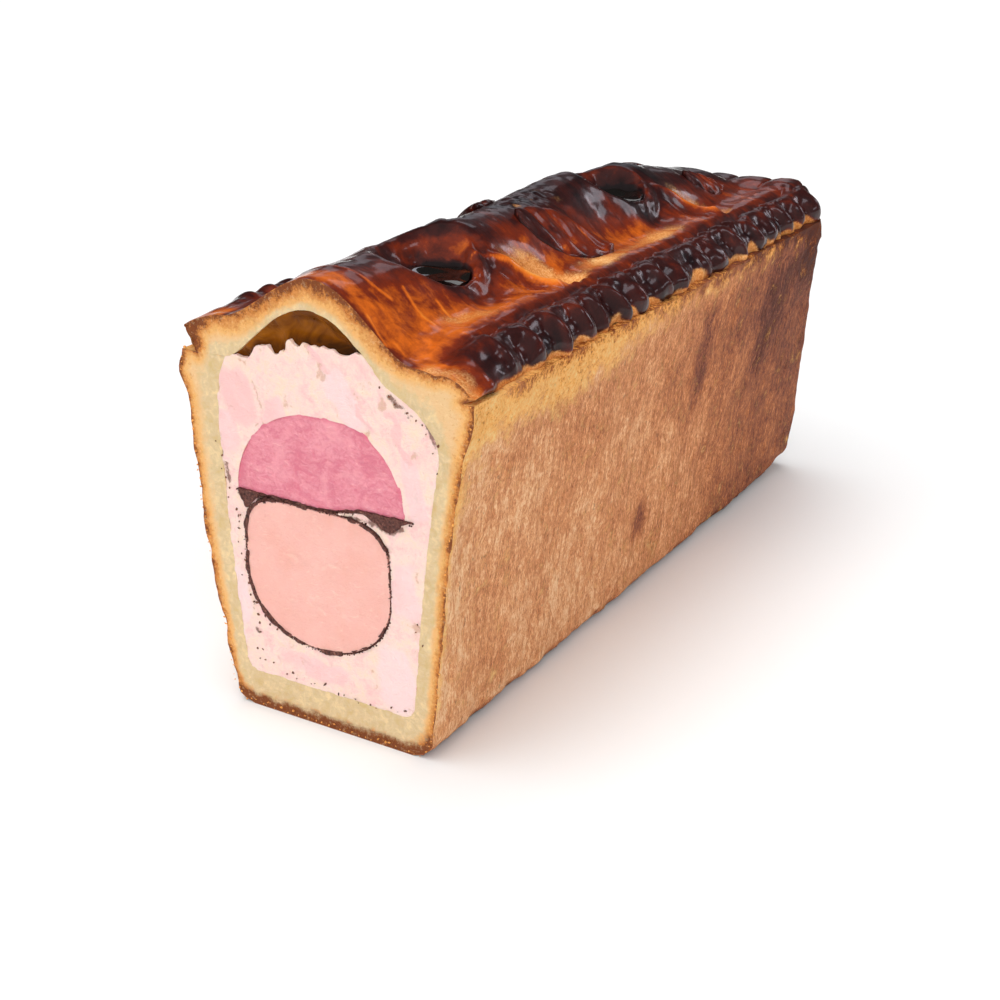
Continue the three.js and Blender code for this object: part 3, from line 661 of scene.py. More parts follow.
def crust_material(colours):
    material, shader, blank, coords = start_material("baked_crust")
    bake, gold = blank.value("bake"), blank.value("gold")
    fibres = coords.stretched(1, 1, 0.35).noise(0.5, 4.0, 0.7, 0.4)
    strands = coords.stretched(1, 1, 0.2).noise(1.6, 4.0, 0.65, 0.3)
    grain = coords.noise(1.0, 4.0, 0.7)
    patches = coords.noise(5, 5.0, 0.65)
    blotch = coords.stretched(1, 1, 0.7).noise(19, 4.0, 0.6)
    texture = fibres.swing(1.6) + strands.swing(0.9)
    tone = bake + texture * 0.9 + patches.swing(0.6) + blotch.swing(0.8)
    browned = tone.ramp(
        (0.0, paint(254, 208, 160)), (0.22, colours.tan), (0.5, colours.brown),
        (0.75, paint(136, 78, 60)), (1.0, colours.dark))
    crumb = grain.swing(1.3) + fibres.swing(0.6)
    golden = (crumb + patches.swing(1.0) + 0.68 - bake * 0.6).ramp(
        (0.0, paint(110, 50, 18)), (0.16, paint(172, 88, 30)), (0.42, colours.gold),
        (0.85, paint(255, 214, 146)))
    edge = (gold + blotch.swing(1.0) + patches.swing(2.2) + crumb * 0.6).between(0.1, 0.95)
    pits = coords.stretched(1, 1, 0.5).noise(1.6, 3.0, 0.6).between(0.64, 0.74)
    colour = pits.tint(edge.mix(browned, golden), 0.5, colours.dark)
    finish_material(
        shader,
        {"Base Color": colour, "Roughness": 0.9 - fibres * 0.25,
         "Normal": bumped(texture * 0.6 + crumb * 0.5, 0.6)},
        {"Specular IOR Level": 0.2})
    return material


def glaze_material(colours):
    material, shader, blank, coords = start_material("egg_glaze")
    bake, bare, matt = blank.value("bake"), blank.value("bare"), blank.value("matt")
    mottle = coords.noise(7, 5.0, 0.6, 0.4)
    streak = coords.stretched(0.3, 1, 0.3).noise(2.4, 2.0, 0.5, 0.5)
    fine = coords.noise(0.9, 3.0, 0.6)
    tone = bake + mottle.swing(0.6) + streak.swing(0.25) + fine.swing(0.12)
    glazed = tone.ramp(
        (0.0, paint(236, 164, 84)), (0.2, paint(222, 126, 40)), (0.36, colours.amber),
        (0.56, colours.chestnut), (0.78, colours.mahogany), (1.0, colours.black))
    grain = coords.noise(0.6, 4.0, 0.7)
    floury = (mottle * 0.4 + grain * 0.6).ramp(
        (0.34, paint(176, 98, 40)), (0.5, colours.flour), (0.64, paint(242, 190, 128)))
    dusted = (bare + mottle.swing(0.9) + grain.swing(0.5)).between(0.2, 0.95)
    colour = dusted.mix(glazed, floury)
    roughness = dusted * 0.32 + mottle * 0.16 + 0.3
    height = mottle * 0.2 + streak * 0.6 + fine * 0.03 + dusted * grain * 0.8
    finish_material(
        shader,
        {"Base Color": colour, "Roughness": roughness, "Coat Weight": (0.6 - dusted * 0.55) * (1 - matt),
         "Normal": bumped(height, 0.25)},
        {"Specular IOR Level": 0.15, "Coat Roughness": 0.12, "Coat IOR": 1.45})
    return material


def forcemeat_material(colours):
    material, shader, blank, coords = start_material("fine_forcemeat")
    chunk, pale = blank.value("chunk"), blank.value("pale")
    crack, stain = blank.value("crack"), blank.value("stain")
    cloud = coords.noise(7, 5.0, 0.6, 0.8)
    fine = coords.noise(1.2, 4.0, 0.65)
    grain = coords.noise(0.45, 2.0)
    matrix = (cloud + fine.swing(0.5)).ramp(
        (0.3, colours.chunk), (0.5, colours.forcemeat), (0.7, colours.fat))
    paleness = (pale + cloud.swing(1.2)).between(0.0, 1.0)
    meat = paleness.mix(opaque(colours.chunk), opaque(colours.pale_chunk))
    colour = (chunk + fine.swing(0.4) + cloud.swing(0.5)).between(0.15, 0.9).mix(matrix, meat)
    dots = grain.between(0.66, 0.74) * (1 - chunk)
    colour = dots.tint(colour, 0.35, paint(190, 136, 110))
    seams = (crack + fine.swing(1.6)).between(0.5, 1.0)
    colour = seams.tint(colour, 0.5, paint(196, 140, 104))
    browned = (stain + fine.swing(1.6)).between(0.4, 0.9)
    colour = browned.tint(colour, 0.8, paint(104, 60, 44))
    finish_material(
        shader,
        {"Base Color": colour, "Roughness": 0.36 + fine * 0.25, "Normal": bumped(fine + grain * 0.5, 0.4)},
        {"Specular IOR Level": 0.35, **MEAT_GLOW})
    return material


def ham_material(colours):
    material, shader, blank, coords = start_material("rosy_ham")
    fibre = coords.stretched(0.7, 1, 1.3).noise(2.2, 5.0, 0.65, 1.5)
    patch = coords.noise(9, 4.0, 0.6, 0.8)
    grain = coords.noise(0.7, 4.0, 0.65)
    pale = fibre.swing(2.0) + patch.swing(2.6) + grain.swing(0.9) + 0.45
    colour = pale.between(-0.1, 1.1).mix(opaque(colours.ham), opaque(colours.pale_ham))
    veins = fibre.between(0.6, 0.7) * patch.between(0.4, 0.6)
    colour = veins.tint(colour, 0.45, paint(250, 196, 196))
    rim = 1 - blank.value("rim").between(0.1, 1.8)
    colour = rim.tint(colour, 0.45, paint(214, 104, 128))
    finish_material(
        shader,
        {"Base Color": colour, "Roughness": 0.34 + grain * 0.25, "Normal": bumped(fibre + grain * 0.7, 0.4)},
        {"Specular IOR Level": 0.4, **MEAT_GLOW})
    return material


def liver_material(colours):
    material, shader, blank, coords = start_material("smooth_liver")
    cloud = coords.noise(10, 4.0, 0.6)
    fine = coords.noise(0.9, 4.0, 0.7)
    colour = cloud.ramp((0.3, paint(236, 174, 160)), (0.5, colours.liver), (0.7, paint(242, 186, 174)))
    scuffs = coords.stretched(0.5, 1, 1.2).noise(1.6, 4.0, 0.7, 1.0).between(0.56, 0.7)
    colour = scuffs.tint(colour, 0.3, paint(254, 218, 200))
    crease = blank.value("crease").between(0.3, 0.9)
    colour = crease.tint(colour, 0.2, paint(254, 222, 204))
    pits = coords.noise(0.8, 2.0).between(0.62, 0.74)
    colour = pits.tint(colour, 0.2, paint(216, 136, 122))
    finish_material(
        shader,
        {"Base Color": colour, "Roughness": 0.42 + fine * 0.25, "Normal": bumped(fine, 0.4)},
        {"Specular IOR Level": 0.35, **MEAT_GLOW})
    return material


def wrap_material(colours):
    material, shader, _, coords = start_material("dark_wrap")
    crumb = coords.noise(0.8, 4.0, 0.7)
    colour = crumb.ramp(
        (0.3, paint(30, 14, 13)), (0.48, colours.wrap), (0.62, paint(118, 74, 64)),
        (0.75, paint(176, 126, 110)))
    finish_material(
        shader, {"Base Color": colour, "Roughness": 0.45 + crumb * 0.4, "Normal": bumped(crumb, 0.5)},
        {"Specular IOR Level": 0.3})
    return material


def jelly_material(colours):
    material, shader, blank, coords = start_material("amber_jelly")
    light, wet = blank.value("light"), blank.value("wet")
    swirl = coords.noise(7, 4.0, 0.6, 1.0)
    # The light value paints light and shade into the jelly: near black in shade, amber where lit
    tone = light + swirl.swing(1.1)
    colour = tone.ramp(
        (0.0, paint(10, 6, 3)), (0.3, colours.shaded_jelly), (0.6, paint(104, 54, 3)), (0.9, colours.jelly))
    finish_material(
        shader,
        {"Base Color": colour, "Roughness": 0.2 + swirl * 0.2, "Coat Weight": wet * 0.9,
         "Normal": bumped(swirl, 0.6)},
        {"Specular IOR Level": 0.08, "Coat Roughness": 0.05, "Coat IOR": 2.4})
    return material


def crumb_material(name, dark, light):
    material, shader, _, coords = start_material(name)
    tone = coords.noise(1.2, 3.0, 0.6)
    colour = tone.ramp((0.3, dark), (0.7, light))
    finish_material(
        shader, {"Base Color": colour, "Roughness": 0.5 + tone * 0.3, "Normal": bumped(tone, 0.2)},
        {"Specular IOR Level": 0.35})
    return material


def floor_material(colours):
    material, shader, _, coords = start_material("pale_floor")
    grain = coords.noise(40, 2.0)
    finish_material(
        shader, {"Roughness": 0.75 + grain * 0.1},
        {"Base Color": opaque(colours.floor), "Specular IOR Level": 0.15})
    return material


# Pastry case


def wall_centre(z):
    rise = z / SEAM_HEIGHT
    return LEAN * rise - BOW * np.sin(np.pi * rise)


def wall_half_width(z):
    return lerp(FOOT_HALF_WIDTH, RIM_HALF_WIDTH, z / SEAM_HEIGHT)


def rounded_off(radius, distance_to_end):
    """How far an edge of this radius has fallen back, this far from its end."""
    within = np.maximum(radius - distance_to_end, 0)
    return radius - np.sqrt(radius * radius - within * within)


def wall_wave(side, y, z):
    wave = np.sin(2 * np.pi * y / WAVE_ALONG + side) * np.sin(2 * np.pi * z / WAVE_UP)
    ripple = np.sin(2 * np.pi * (y / RIPPLE_ALONG + z / RIPPLE_UP))
    return WALL_WAVE * (wave + ripple / 2)


def wall_points(side, z, y):
    """The outside of one long wall, with its lip, foot and leaning end."""
    rise = (z / SEAM_HEIGHT) ** END_LEAN
    inset = rounded_off(lerp(END_RADIUS, END_TOP_RADIUS, rise), LENGTH - y)
    lip = LIP_PROUD * mound(z, LIP_HEIGHT, LIP_REACH) * (1 if side < 0 else RIGHT_LIP)
    half = wall_half_width(z) + lip + wall_wave(side, y, z) - rounded_off(FOOT_RADIUS, z) - inset
    lift = CORNER_LIFT * smooth(y, LENGTH - LIFT_RUN, LENGTH)
    draft = lerp(-END_FOOT, END_DRAFT, rise) * (y / LENGTH) ** END_DRAFT_POWER
    return placed(wall_centre(z) + side * half, y - draft, lift + z * (1 - lift / SEAM_HEIGHT))


def case_shell():
    """The outside of the case: for each station, round from the left rim under the base to the right rim."""
    turn = np.cos(np.linspace(0, np.pi / 2, CORNER_STATIONS)[1:])
    corner = LENGTH - END_RADIUS * turn[1:] / turn[0]
    y = np.r_[np.linspace(0, LENGTH - END_RADIUS, CASE_STATIONS), corner][:, None]
    z = SEAM_HEIGHT * (1 - np.linspace(0, 1, WALL_ROWS + 1) ** ROW_POWER)[None]
    left = wall_points(-1, z, y)
    right = wall_points(1, z, y)[:, ::-1]
    across = np.linspace(0, 1, BASE_ROWS + 1)[None, 1:-1, None]
    base = lerp(left[:, -1:], right[:, :1], across)
    return np.concatenate([left, base, right], axis=1)


def inner_wall(side, z, inset=0):
    """Where the inside of a long wall is at these heights."""
    gain = LEFT_WALL_GAIN if side < 0 else RIGHT_WALL_GAIN
    thickness = WALL_FOOT + gain * (z / SEAM_HEIGHT) + inset
    return wall_centre(z) + side * (wall_half_width(z) - thickness)


def hollow_side(side, inset=0):
    """Half of the hollow in the case, from the seat of the lid down to the middle of its floor."""
    seat = LEFT_SEAT if side < 0 else RIGHT_SEAT
    start = np.array([inner_wall(side, SHOULDER_HEIGHT, inset), SHOULDER_HEIGHT])
    bend = np.array([start[0], SHOULDER_HEIGHT + SHOULDER_BEND])
    end = np.array([seat, SEAM_HEIGHT])
    share = np.linspace(0, 1, 24)[:, None]
    shoulder = end * (1 - share) ** 2 + bend * 2 * share * (1 - share) + start * share**2
    floor = BASE_THICKNESS + inset
    heights = np.linspace(SHOULDER_HEIGHT, floor + CORNER_RADIUS, 60)[1:]
    wall = section(inner_wall(side, heights, inset), heights)
    turn = np.linspace(0, np.pi / 2, 8)[1:]
    foot = wall[-1]
    across = foot[0] - side * CORNER_RADIUS * (1 - np.cos(turn))
    corner = section(across, foot[1] - CORNER_RADIUS * np.sin(turn))
    return np.concatenate([shoulder, wall, corner])


def hollow_outline():
    """The hollow from the left seat under its floor to the right seat, with as many points as the shell."""
    left = resampled(hollow_side(-1), WALL_ROWS + 1)
    right = resampled(hollow_side(1), WALL_ROWS + 1)[::-1]
    base = lerp(left[-1], right[0], np.linspace(0, 1, BASE_ROWS + 1)[1:-1, None])
    return np.concatenate([left, base, right])


def case_relief(points, relief):
    x, y, z = np.moveaxis(points, -1, 0)
    fibre = relief.fibre / MM * rough(points, (1.8, 1.8, 6), 2, 3)
    lump = relief.wall_lumps / MM * rough(points, (10, 10, 8), 3, 7)
    pits = -0.5 * smooth(rough(points, (5, 5, 8), 3, 13), 0.5, 1.0)
    flaky = smooth(z, 86, 97) * (0.3 + 0.7 * smooth(y, 205, 240))
    flake = relief.flakes / MM * flaky * rough(points, (5, 4, 3.2), 3, 17)
    cut_edge = relief.flakes / MM * mound(y, 0, 8) * smooth(-x, 20, 30) * rough(points, (6, 6, 5), 2, 19)
    lower_edge = -0.9 * mound(z, 4, 5) * smooth(rough(points, 6, 2, 23), 0.0, 0.7)
    on_wall = plateau(z, 0.2, 3, SEAM_HEIGHT - 2, SEAM_HEIGHT)
    return (fibre + lump + pits + flake + cut_edge + lower_edge) * on_wall


def case_bake(points):
    """How dark the wall is, and where it has stayed golden."""
    _, y, z = np.moveaxis(points, -1, 0)
    # Darker towards the closed end, and paler low at the front and at the cut
    to_back = 0.42 * smooth(y, 110, 250) + 0.16 * mound(z, 80, 20) * smooth(y, 70, 170)
    pale_front = 0.06 * smooth(60 - z, 0, 50) * (1 - smooth(y, 90, 200)) + 0.08 * mound(y, 0, 22)
    dark_foot = 0.8 * mound(z, 0, 2.4)
    patches = 0.1 * mound(y, 66, 12) * mound(z, 84, 9) + 0.55 * mound(y, 120, 5) * mound(z, 28, 7)
    streaks = 0.2 * mound(y, 150, 6) * plateau(z, 25, 70, 88, 98)
    streaks = streaks + 0.16 * mound(y, 205, 9) * smooth(z, 20, 70)
    stain = smooth(z + 1.6 * rough(points, 5, 2, 73), SEAM_HEIGHT - 4.5, SEAM_HEIGHT) * smooth(y, 6, 26)
    corner = smooth(y, 205, 240) * smooth(z, 80, 92)
    bake = 0.28 + to_back - pale_front + dark_foot + patches + streaks + RIM_STAIN * stain + 0.5 * corner

    band = smooth(z - 7 * smooth(y, 55, 125), 86, 99) * (0.9 - 0.45 * smooth(y, 60, 190))
    band = band + 0.2 * mound(y, 60, 30) * mound(z, 92, 9)
    cut_edge = 0.8 * mound(y, 0, 2) * smooth(z, 2, 20) + 0.5 * mound(y, 0, 12) * smooth(z, 60, 95)
    return bake, band + cut_edge + 0.3 * corner


def cut_rims(relief):
    """The crust all round the cut, and the edge of the filling within it."""
    wall, lid = case_shell()[0], lid_sheet(relief.fold_edge / MM)[0][0]
    crust = np.concatenate([resampled(wall[:, [0, 2]], 700), resampled(lid[:, [0, 2]], 500)])
    x = np.linspace(LEFT_SEAT, RIGHT_SEAT, 250)
    hollow = resampled(hollow_outline(), 700)
    return crust, np.concatenate([hollow, section(x, ceiling(x, 0.0))])


def cut_values(cut, rims):
    """How deep under the crust each point of the cut seems by its toasting, and how dry it is."""
    x, z = cut[..., 0], cut[..., 1]
    depth, within = (distance(cut.reshape(-1, 2), rim).reshape(x.shape) for rim in rims)
    on_lid = smooth(z, SEAM_HEIGHT, SEAM_HEIGHT + 8)
    dry = (within / np.maximum(within + depth, 1e-6)) ** lerp(BASE_MOISTURE, 1, smooth(z, 4, 16))
    dry = dry + np.maximum(SHOULDER_DRYNESS * smooth(x, 0, 20) * smooth(z, 78, 98), LID_DRYNESS * on_lid)
    toast = lerp(BASE_TOAST, 1, smooth(z, 4, 14)) * lerp(1, LID_TOAST, on_lid)
    tip = (1 - smooth(x, -46, -31)) * smooth(z, SEAM_HEIGHT - 1, SEAM_HEIGHT + 1)
    scorch = TIP_SCORCH * tip + BASE_SCORCH * (1 - smooth(z, 1, 5)) + CREST_SCORCH * smooth(z, 116, 127)
    return depth * toast * (1 - 0.9 * tip) - scorch, dry


def off_seam(cut):
    """0 along the right seam of the lid, where the two doughs have grown together, and 1 away from it."""
    return np.maximum(smooth(np.abs(cut[..., 1] - SEAM_HEIGHT), 0, 2.5), smooth(-cut[..., 0], 20, 30))


def add_cut(skin, edge, crust, hollow, relief, seed, inner_crumble):
    """The cut dough from the edge of the crust in to the hollow. Gives the numbers of its last row."""
    share = np.linspace(0, 1, CUT_ROWS + 1)[1:, None, None]
    cut = lerp(crust[None], hollow[None], share)
    depth, dry = cut_values(cut, cut_rims(relief))
    face = on_cut(cut)
    crumble = rough(face, 1.8, 3, seed) * lerp(1.8, inner_crumble, smooth(depth, 1, 5))
    face[..., 1] = relief.cut / MM * crumble * smooth(share[..., 0], 0, 0.1) * off_seam(cut)
    ring = skin.patch(face, depth=depth, dry=dry)
    skin.grid(np.concatenate([edge[None], ring]), 1)
    return ring[-1:]


def build_case(context):
    colours, relief = context.scene.loaf_colours, context.scene.loaf_relief
    skin = Skin("bake", "gold", "depth", "dry")
    shell = case_shell()
    shell = raised(shell, case_relief(shell, relief))
    shell[0, :, 1] = 0
    shell[..., 2] = np.maximum(shell[..., 2], 0)
    bake, gold = case_bake(shell)
    walls = skin.patch(shell, bake=bake, gold=gold, dry=CRUST_DRYNESS)
    skin.grid(walls)

    hollow = hollow_outline()
    mouth = add_cut(skin, walls[0], shell[0][:, [0, 2]], hollow, relief, 29, 0.8)
    back = LENGTH - END_THICKNESS
    inner = placed(hollow[None, :, 0], np.array([[back / 2], [back]]), hollow[None, :, 1])
    lining = np.concatenate([mouth, skin.patch(inner)])
    skin.grid(lining, 1)
    tops = []
    for rows in (walls[-1], lining[-1]):
        left, right = rows[:WALL_ROWS + 1], rows[::-1][:WALL_ROWS + 1]
        ends = np.concatenate(skin.points)
        between = np.linspace(0, 1, BASE_ROWS + 1)[None, 1:-1, None]
        middle = lerp(ends[left][:-1, None], ends[right][:-1, None], between)
        bake, gold = case_bake(middle)
        filled = skin.patch(middle, bake=bake, gold=gold)
        filled = np.concatenate([filled, rows[WALL_ROWS + 1:-WALL_ROWS - 1][None]])
        skin.grid(np.concatenate([left[:, None], filled, right[:, None]], axis=1))
        tops.append(filled[0])
    outside = np.r_[walls[:, 0], tops[0], walls[::-1, -1]]
    within = np.r_[lining[:, 0], tops[1], lining[::-1, -1]]
    skin.seam(outside, within)
    piece = skin.piece("crust_case", [crust_material(colours), cut_dough_material(colours)])
    settle(piece, "crust", "pastry_case")


# Lid


def ceiling(x, y):
    """Height of the roof of the pocket under the lid."""
    rise = lerp(CEILING_RISE, CEILING_END_RISE, smooth(y, *POCKET_FALL))
    seat = np.where(x < CEILING_CENTRE, LEFT_SEAT, RIGHT_SEAT)
    power = np.where(x < CEILING_CENTRE, LEFT_CEILING_POWER, RIGHT_CEILING_POWER)
    across = (x - CEILING_CENTRE) / (seat - CEILING_CENTRE)
    return SEAM_HEIGHT + rise * np.maximum(1 - across * across, 0) ** power


def crest_height(y):
    fallen = np.clip((y - FALL_START) / (LENGTH - FALL_START), 0, 1) ** FALL_POWER
    swell = CREST_SWELL * smooth(y, *SWELL_RUN) + CREST_HUMP * mound(y, HUMP_AT, HUMP_LENGTH)
    return CREST + swell - CREST_FALL * fallen


def flank_level(x):
    side = smooth(x, -DOME_HALF_WIDTH, DOME_HALF_WIDTH)
    edge = EDGE_FALL * smooth(np.abs(x), DOME_HALF_WIDTH, CRIMP_MIDDLE + CRIMP_HALF_WIDTH)
    return lerp(LEFT_FLANK, RIGHT_FLANK, side) - edge


def from_vent(vent, x, y):
    """Distance from the middle of a vent, which is 1 at its rim."""
    return np.hypot((x - vent[0]) / VENT_HALF_WIDTH, (y - vent[1]) / VENT_HALF_LENGTH)


def behind_fold(vent, x, y):
    """Distance behind the line of a vent's fold, and how strong the fold is so far from the crest."""
    reach = np.abs(x - vent[0])
    line = vent[1] + FOLD_BACK * (1 - np.exp(-reach / FOLD_BEND))
    side = lerp(LEFT_FOLD, 1, smooth(x - vent[0], -FOLD_CHANGE, FOLD_CHANGE))
    return y - line, plateau(reach, *FOLD_STARTS, *FOLD_ENDS) * side


def fold_relief(vent, x, y, edge):
    behind, strength = behind_fold(vent, x, y)
    fold = FOLD_HEIGHT * mound(behind, 0, FOLD_WIDTH)
    valley = VALLEY_DEPTH * mound(behind, VALLEY_BEHIND, VALLEY_WIDTH)
    step = edge * plateau(behind, *FOLD_STEP_RUN)
    groove = GROOVE_DEPTH * mound(behind, -GROOVE_AHEAD, GROOVE_WIDTH)
    groove = groove * smooth(np.abs(x - vent[0]), *GROOVE_RUN)
    return strength * (fold - valley - step - groove)


def hood_relief(vent, x, y):
    """The swelling of the lid behind a vent."""
    swelling = HOOD_HEIGHT * mound(from_vent(vent, x, y), HOOD_AT, HOOD_SPREAD)
    return swelling * smooth(y - vent[1], *HOOD_RUN)


def soft_min(first, second, blend):
    """The lower of two heights, with a rounded change between them."""
    return -blend * np.logaddexp(-first / blend, -second / blend)


def socket_floor(vent, x, y):
    """Height of the rim of a vent, carried on outwards as a steep slope."""
    outside = np.maximum(from_vent(vent, x, y) - 1, 0) * VENT_HALF_LENGTH
    return vent[2] + SOCKET_TILT * (y - vent[1]) + SOCKET_SLOPE * outside


def well_relief(vent, x, y):
    return -VENT_WELL * (1 - smooth(from_vent(vent, x, y), WELL_FOOT, WELL_MOUTH))


def edge_fill(x, y):
    """The dough that joins the right flank to its crimp."""
    return EDGE_FILL * mound(x, FILL_AT, FILL_WIDTH) * plateau(y, *FILL_RUN)


def lid_top(x, y, edge=0.0):
    """Height of the lid between its crimped edges."""
    across = np.clip(x / DOME_HALF_WIDTH, -1, 1)
    dome = (0.5 + 0.5 * np.cos(np.pi * across)) ** DOME_POWER
    flank = flank_level(x)
    level = flank + np.maximum(crest_height(y) - flank, 0) * dome + edge_fill(x, y)
    level = level + sum(fold_relief(vent, x, y, edge) + hood_relief(vent, x, y) for vent in VENTS)
    level = level + LEFT_BULGE * mound(x, BULGE_AT, BULGE_WIDTH) * plateau(y, *BULGE_RUN)
    for vent in VENTS:
        level = soft_min(level, socket_floor(vent, x, y), SOCKET_BLEND) + well_relief(vent, x, y)
    return level


def pinch_over(share):
    """1 where the crimp across the end is pinched, down to 0 half-way between."""
    return 1 - np.sqrt(np.abs(np.sin(np.pi * share)))


def tooth_ridge(y):
    """1 on the ridge of each pleat of a long crimp, down to 0 in the gaps between."""
    crowns = np.array(TOOTH_CROWNS, float)
    width = TOOTH_WIDTH * np.gradient(crowns)
    height = 1 - TOOTH_UNEVEN + TOOTH_UNEVEN * np.sin(1.7 * crowns)
    return (height * np.exp(-(((y[..., None] - crowns) / width) ** 2))).max(axis=-1)


def crimp_points(side, y):
    """One long edge for each station, from foot to inner side, and how deep in a groove each point is."""
    middle = CRIMP_MIDDLE - (LEFT_CRIMP_SHIFT if side < 0 else 0)
    rise = CRIMP_RISE * (LEFT_CRIMP_GAIN if side < 0 else 1)
    grown = lerp(FIRST_TOOTH, 1, smooth(y, 0, CRIMP_FADE))
    apart = side * SIDES_APART
    first = CRIMP_TURNS[0] + TOOTH_HANG * lumps(placed(apart, y, 0), 9, 39)
    turn = np.radians(lerp(first, CRIMP_TURNS[1], np.linspace(0, 1, BEAD_COLUMNS)[None]))
    ridge_at = y + TOOTH_SLANT * (np.sin(turn) - 0.5)
    ridge_at = ridge_at + TOOTH_WANDER * lumps(placed(apart, y, turn * 6), 7, 37)
    ending = smooth(turn, np.radians(first), np.radians(first + TOOTH_END)) ** TOOTH_ROUNDNESS
    groove = (1 - tooth_ridge(ridge_at) * ending) * smooth(np.cos(turn), *TOOTH_SIDE) * grown
    groove = groove * (1 if side > 0 else LEFT_GROOVES)
    wrinkle = TOOTH_WRINKLE * rough(placed(apart, ridge_at, turn * 5), WRINKLE_SIZE, 1, 41) * grown
    radius = 1 - TOOTH_DEPTH / CRIMP_HALF_WIDTH * groove - wrinkle
    reach = CRIMP_HALF_WIDTH * (lerp(BLUNT_TIP, 1, smooth(y, 0, BLUNT_RUN)) if side < 0 else 1)
    reach = np.where(np.cos(turn) > 0, reach, CRIMP_HALF_WIDTH)
    x = side * (middle + reach * radius * np.cos(turn))
    level = SEAM_HEIGHT + CRIMP_LIFT + rise * radius * np.sin(turn)
    z = np.where(np.cos(turn) < 0, np.maximum(level, flank_level(x) - FURROW + edge_fill(x, y)), level)
    z = lerp(np.maximum(flank_level(x), z - rise / 2), z, grown)
    bead = placed(x, y, z)
    foot = placed(bead[:, :1, 0] - CRIMP_FOOT * side, y, SEAM_HEIGHT)
    return np.concatenate([foot, bead], axis=1), np.concatenate([groove[:, :1], groove], axis=1)


def end_corner(x, y):
    """How far the lid's edge is drawn in at the corners of the closed end."""
    drawn = rounded_off(LID_CORNER, END_CRIMP + CRIMP_HALF_WIDTH - y)
    return np.sign(x) * drawn * smooth(np.abs(x), *LID_CORNER_RUN)


def end_crimp(points):
    """Rolls the lid over the closed end, up to a crimp across it and down behind."""
    x, y, z = np.moveaxis(points, -1, 0)
    along = (y - END_CRIMP) / CRIMP_HALF_WIDTH
    height = z - SEAM_HEIGHT
    bead = CRIMP_LIFT + CRIMP_RISE + END_GAIN - PINCH_DEPTH * pinch_over(x / END_TOOTH_PITCH)
    bead = bead * (1 - smooth(np.abs(x), *END_BEAD_ENDS))
    met = smooth(along, *END_MEETS)
    level = lerp(height, np.where(np.abs(x) < DOME_HALF_WIDTH, bead, np.maximum(bead, height)), met)
    rolled = np.sqrt(np.maximum(1 - np.maximum(along, 0) ** ROLL_POWER, 0))
    return placed(x - end_corner(x, y), y, SEAM_HEIGHT + level * rolled)


def lid_sheet(edge):
    """The top of the lid for each station from right to left, and how deep in a groove each point is."""
    body = np.linspace(0, END_CRIMP, LID_STATIONS)
    rolled = END_CRIMP + CRIMP_HALF_WIDTH * np.sin(np.linspace(0, np.arcsin(END_ROLL), 16))[1:]
    y = np.r_[body, rolled][:, None]
    right, right_groove = crimp_points(1, y)
    left, left_groove = crimp_points(-1, y)
    x = np.linspace(SHEET_REACH, -SHEET_REACH, SHEET_COLUMNS)[None]
    sheet = placed(x, y, lid_top(x, y, edge))
    points = np.concatenate([right, sheet, left[:, ::-1]], axis=1)
    none = np.zeros(sheet.shape[:2])
    groove = np.concatenate([right_groove, none, left_groove[:, ::-1]], axis=1)
    return end_crimp(points), groove


def creased(points):
    """1 along the creases in the glaze."""
    lines = np.concatenate([resampled(line, 30) for line in CREASES])
    flat = np.stack([np.abs(points[..., 0]), points[..., 1]], axis=-1).reshape(-1, 2)
    flat = flat + 0.5 * lumps(placed(flat[:, 0], flat[:, 1], 0), 4, 43)[:, None]
    return mound(distance(flat, lines), 0, CREASE_WIDTH).reshape(points.shape[:-1])


def crest_leaf(x, y):
    """1 on the torn leaf that lies along the crest."""
    middle = TORN_LEAF_SLANT * (y - TORN_LEAF_AT)
    return mound(x, middle, TORN_LEAF_WIDTH) * plateau(y, *TORN_LEAF_RUN)


def lid_relief(points, relief, crease):
    x, y, z = np.moveaxis(points, -1, 0)
    height = relief.glaze_lumps / MM * (rough(points, 15, 3, 51) + 0.2 * rough(points, 4, 2, 57))
    bulge = MOUND_RISE * mound(x, *MOUND_ACROSS) * mound(y, *MOUND_ALONG)
    torn = crest_leaf(x, y) * (0.4 + 0.55 * rough(points, (5, 3.5, 5), 3, 61))
    rim = sum(mound(from_vent(vent, x, y), 1.05, 0.25) for vent in VENTS) * rough(points, 3.5, 2, 63)
    brow = sum(mound(from_vent(vent, x, y), 1.5, 0.16) * smooth(y - vent[1], 0, 6) for vent in VENTS)
    cheek = sum(mound(x - vent[0], 15.5, 3.5) * mound(y - vent[1], 1, 6) for vent in VENTS)
    round_vents = RIM_ROUGHNESS * rim + BROW_RISE * brow + CHEEK_RISE * cheek
    total = height + bulge + torn + round_vents - CREASE_DEPTH * crease
    return total * smooth(y, 0, 2.5) * smooth(z, SEAM_HEIGHT + 0.5, SEAM_HEIGHT + 4)


def on_crimp(x):
    """0 on the flanks of the lid and 1 on its crimped edges."""
    middle = np.where(x < 0, CRIMP_MIDDLE - LEFT_CRIMP_SHIFT, CRIMP_MIDDLE)
    return smooth(np.abs(x), middle - CRIMP_HALF_WIDTH - 0.5, middle - CRIMP_HALF_WIDTH + 3)


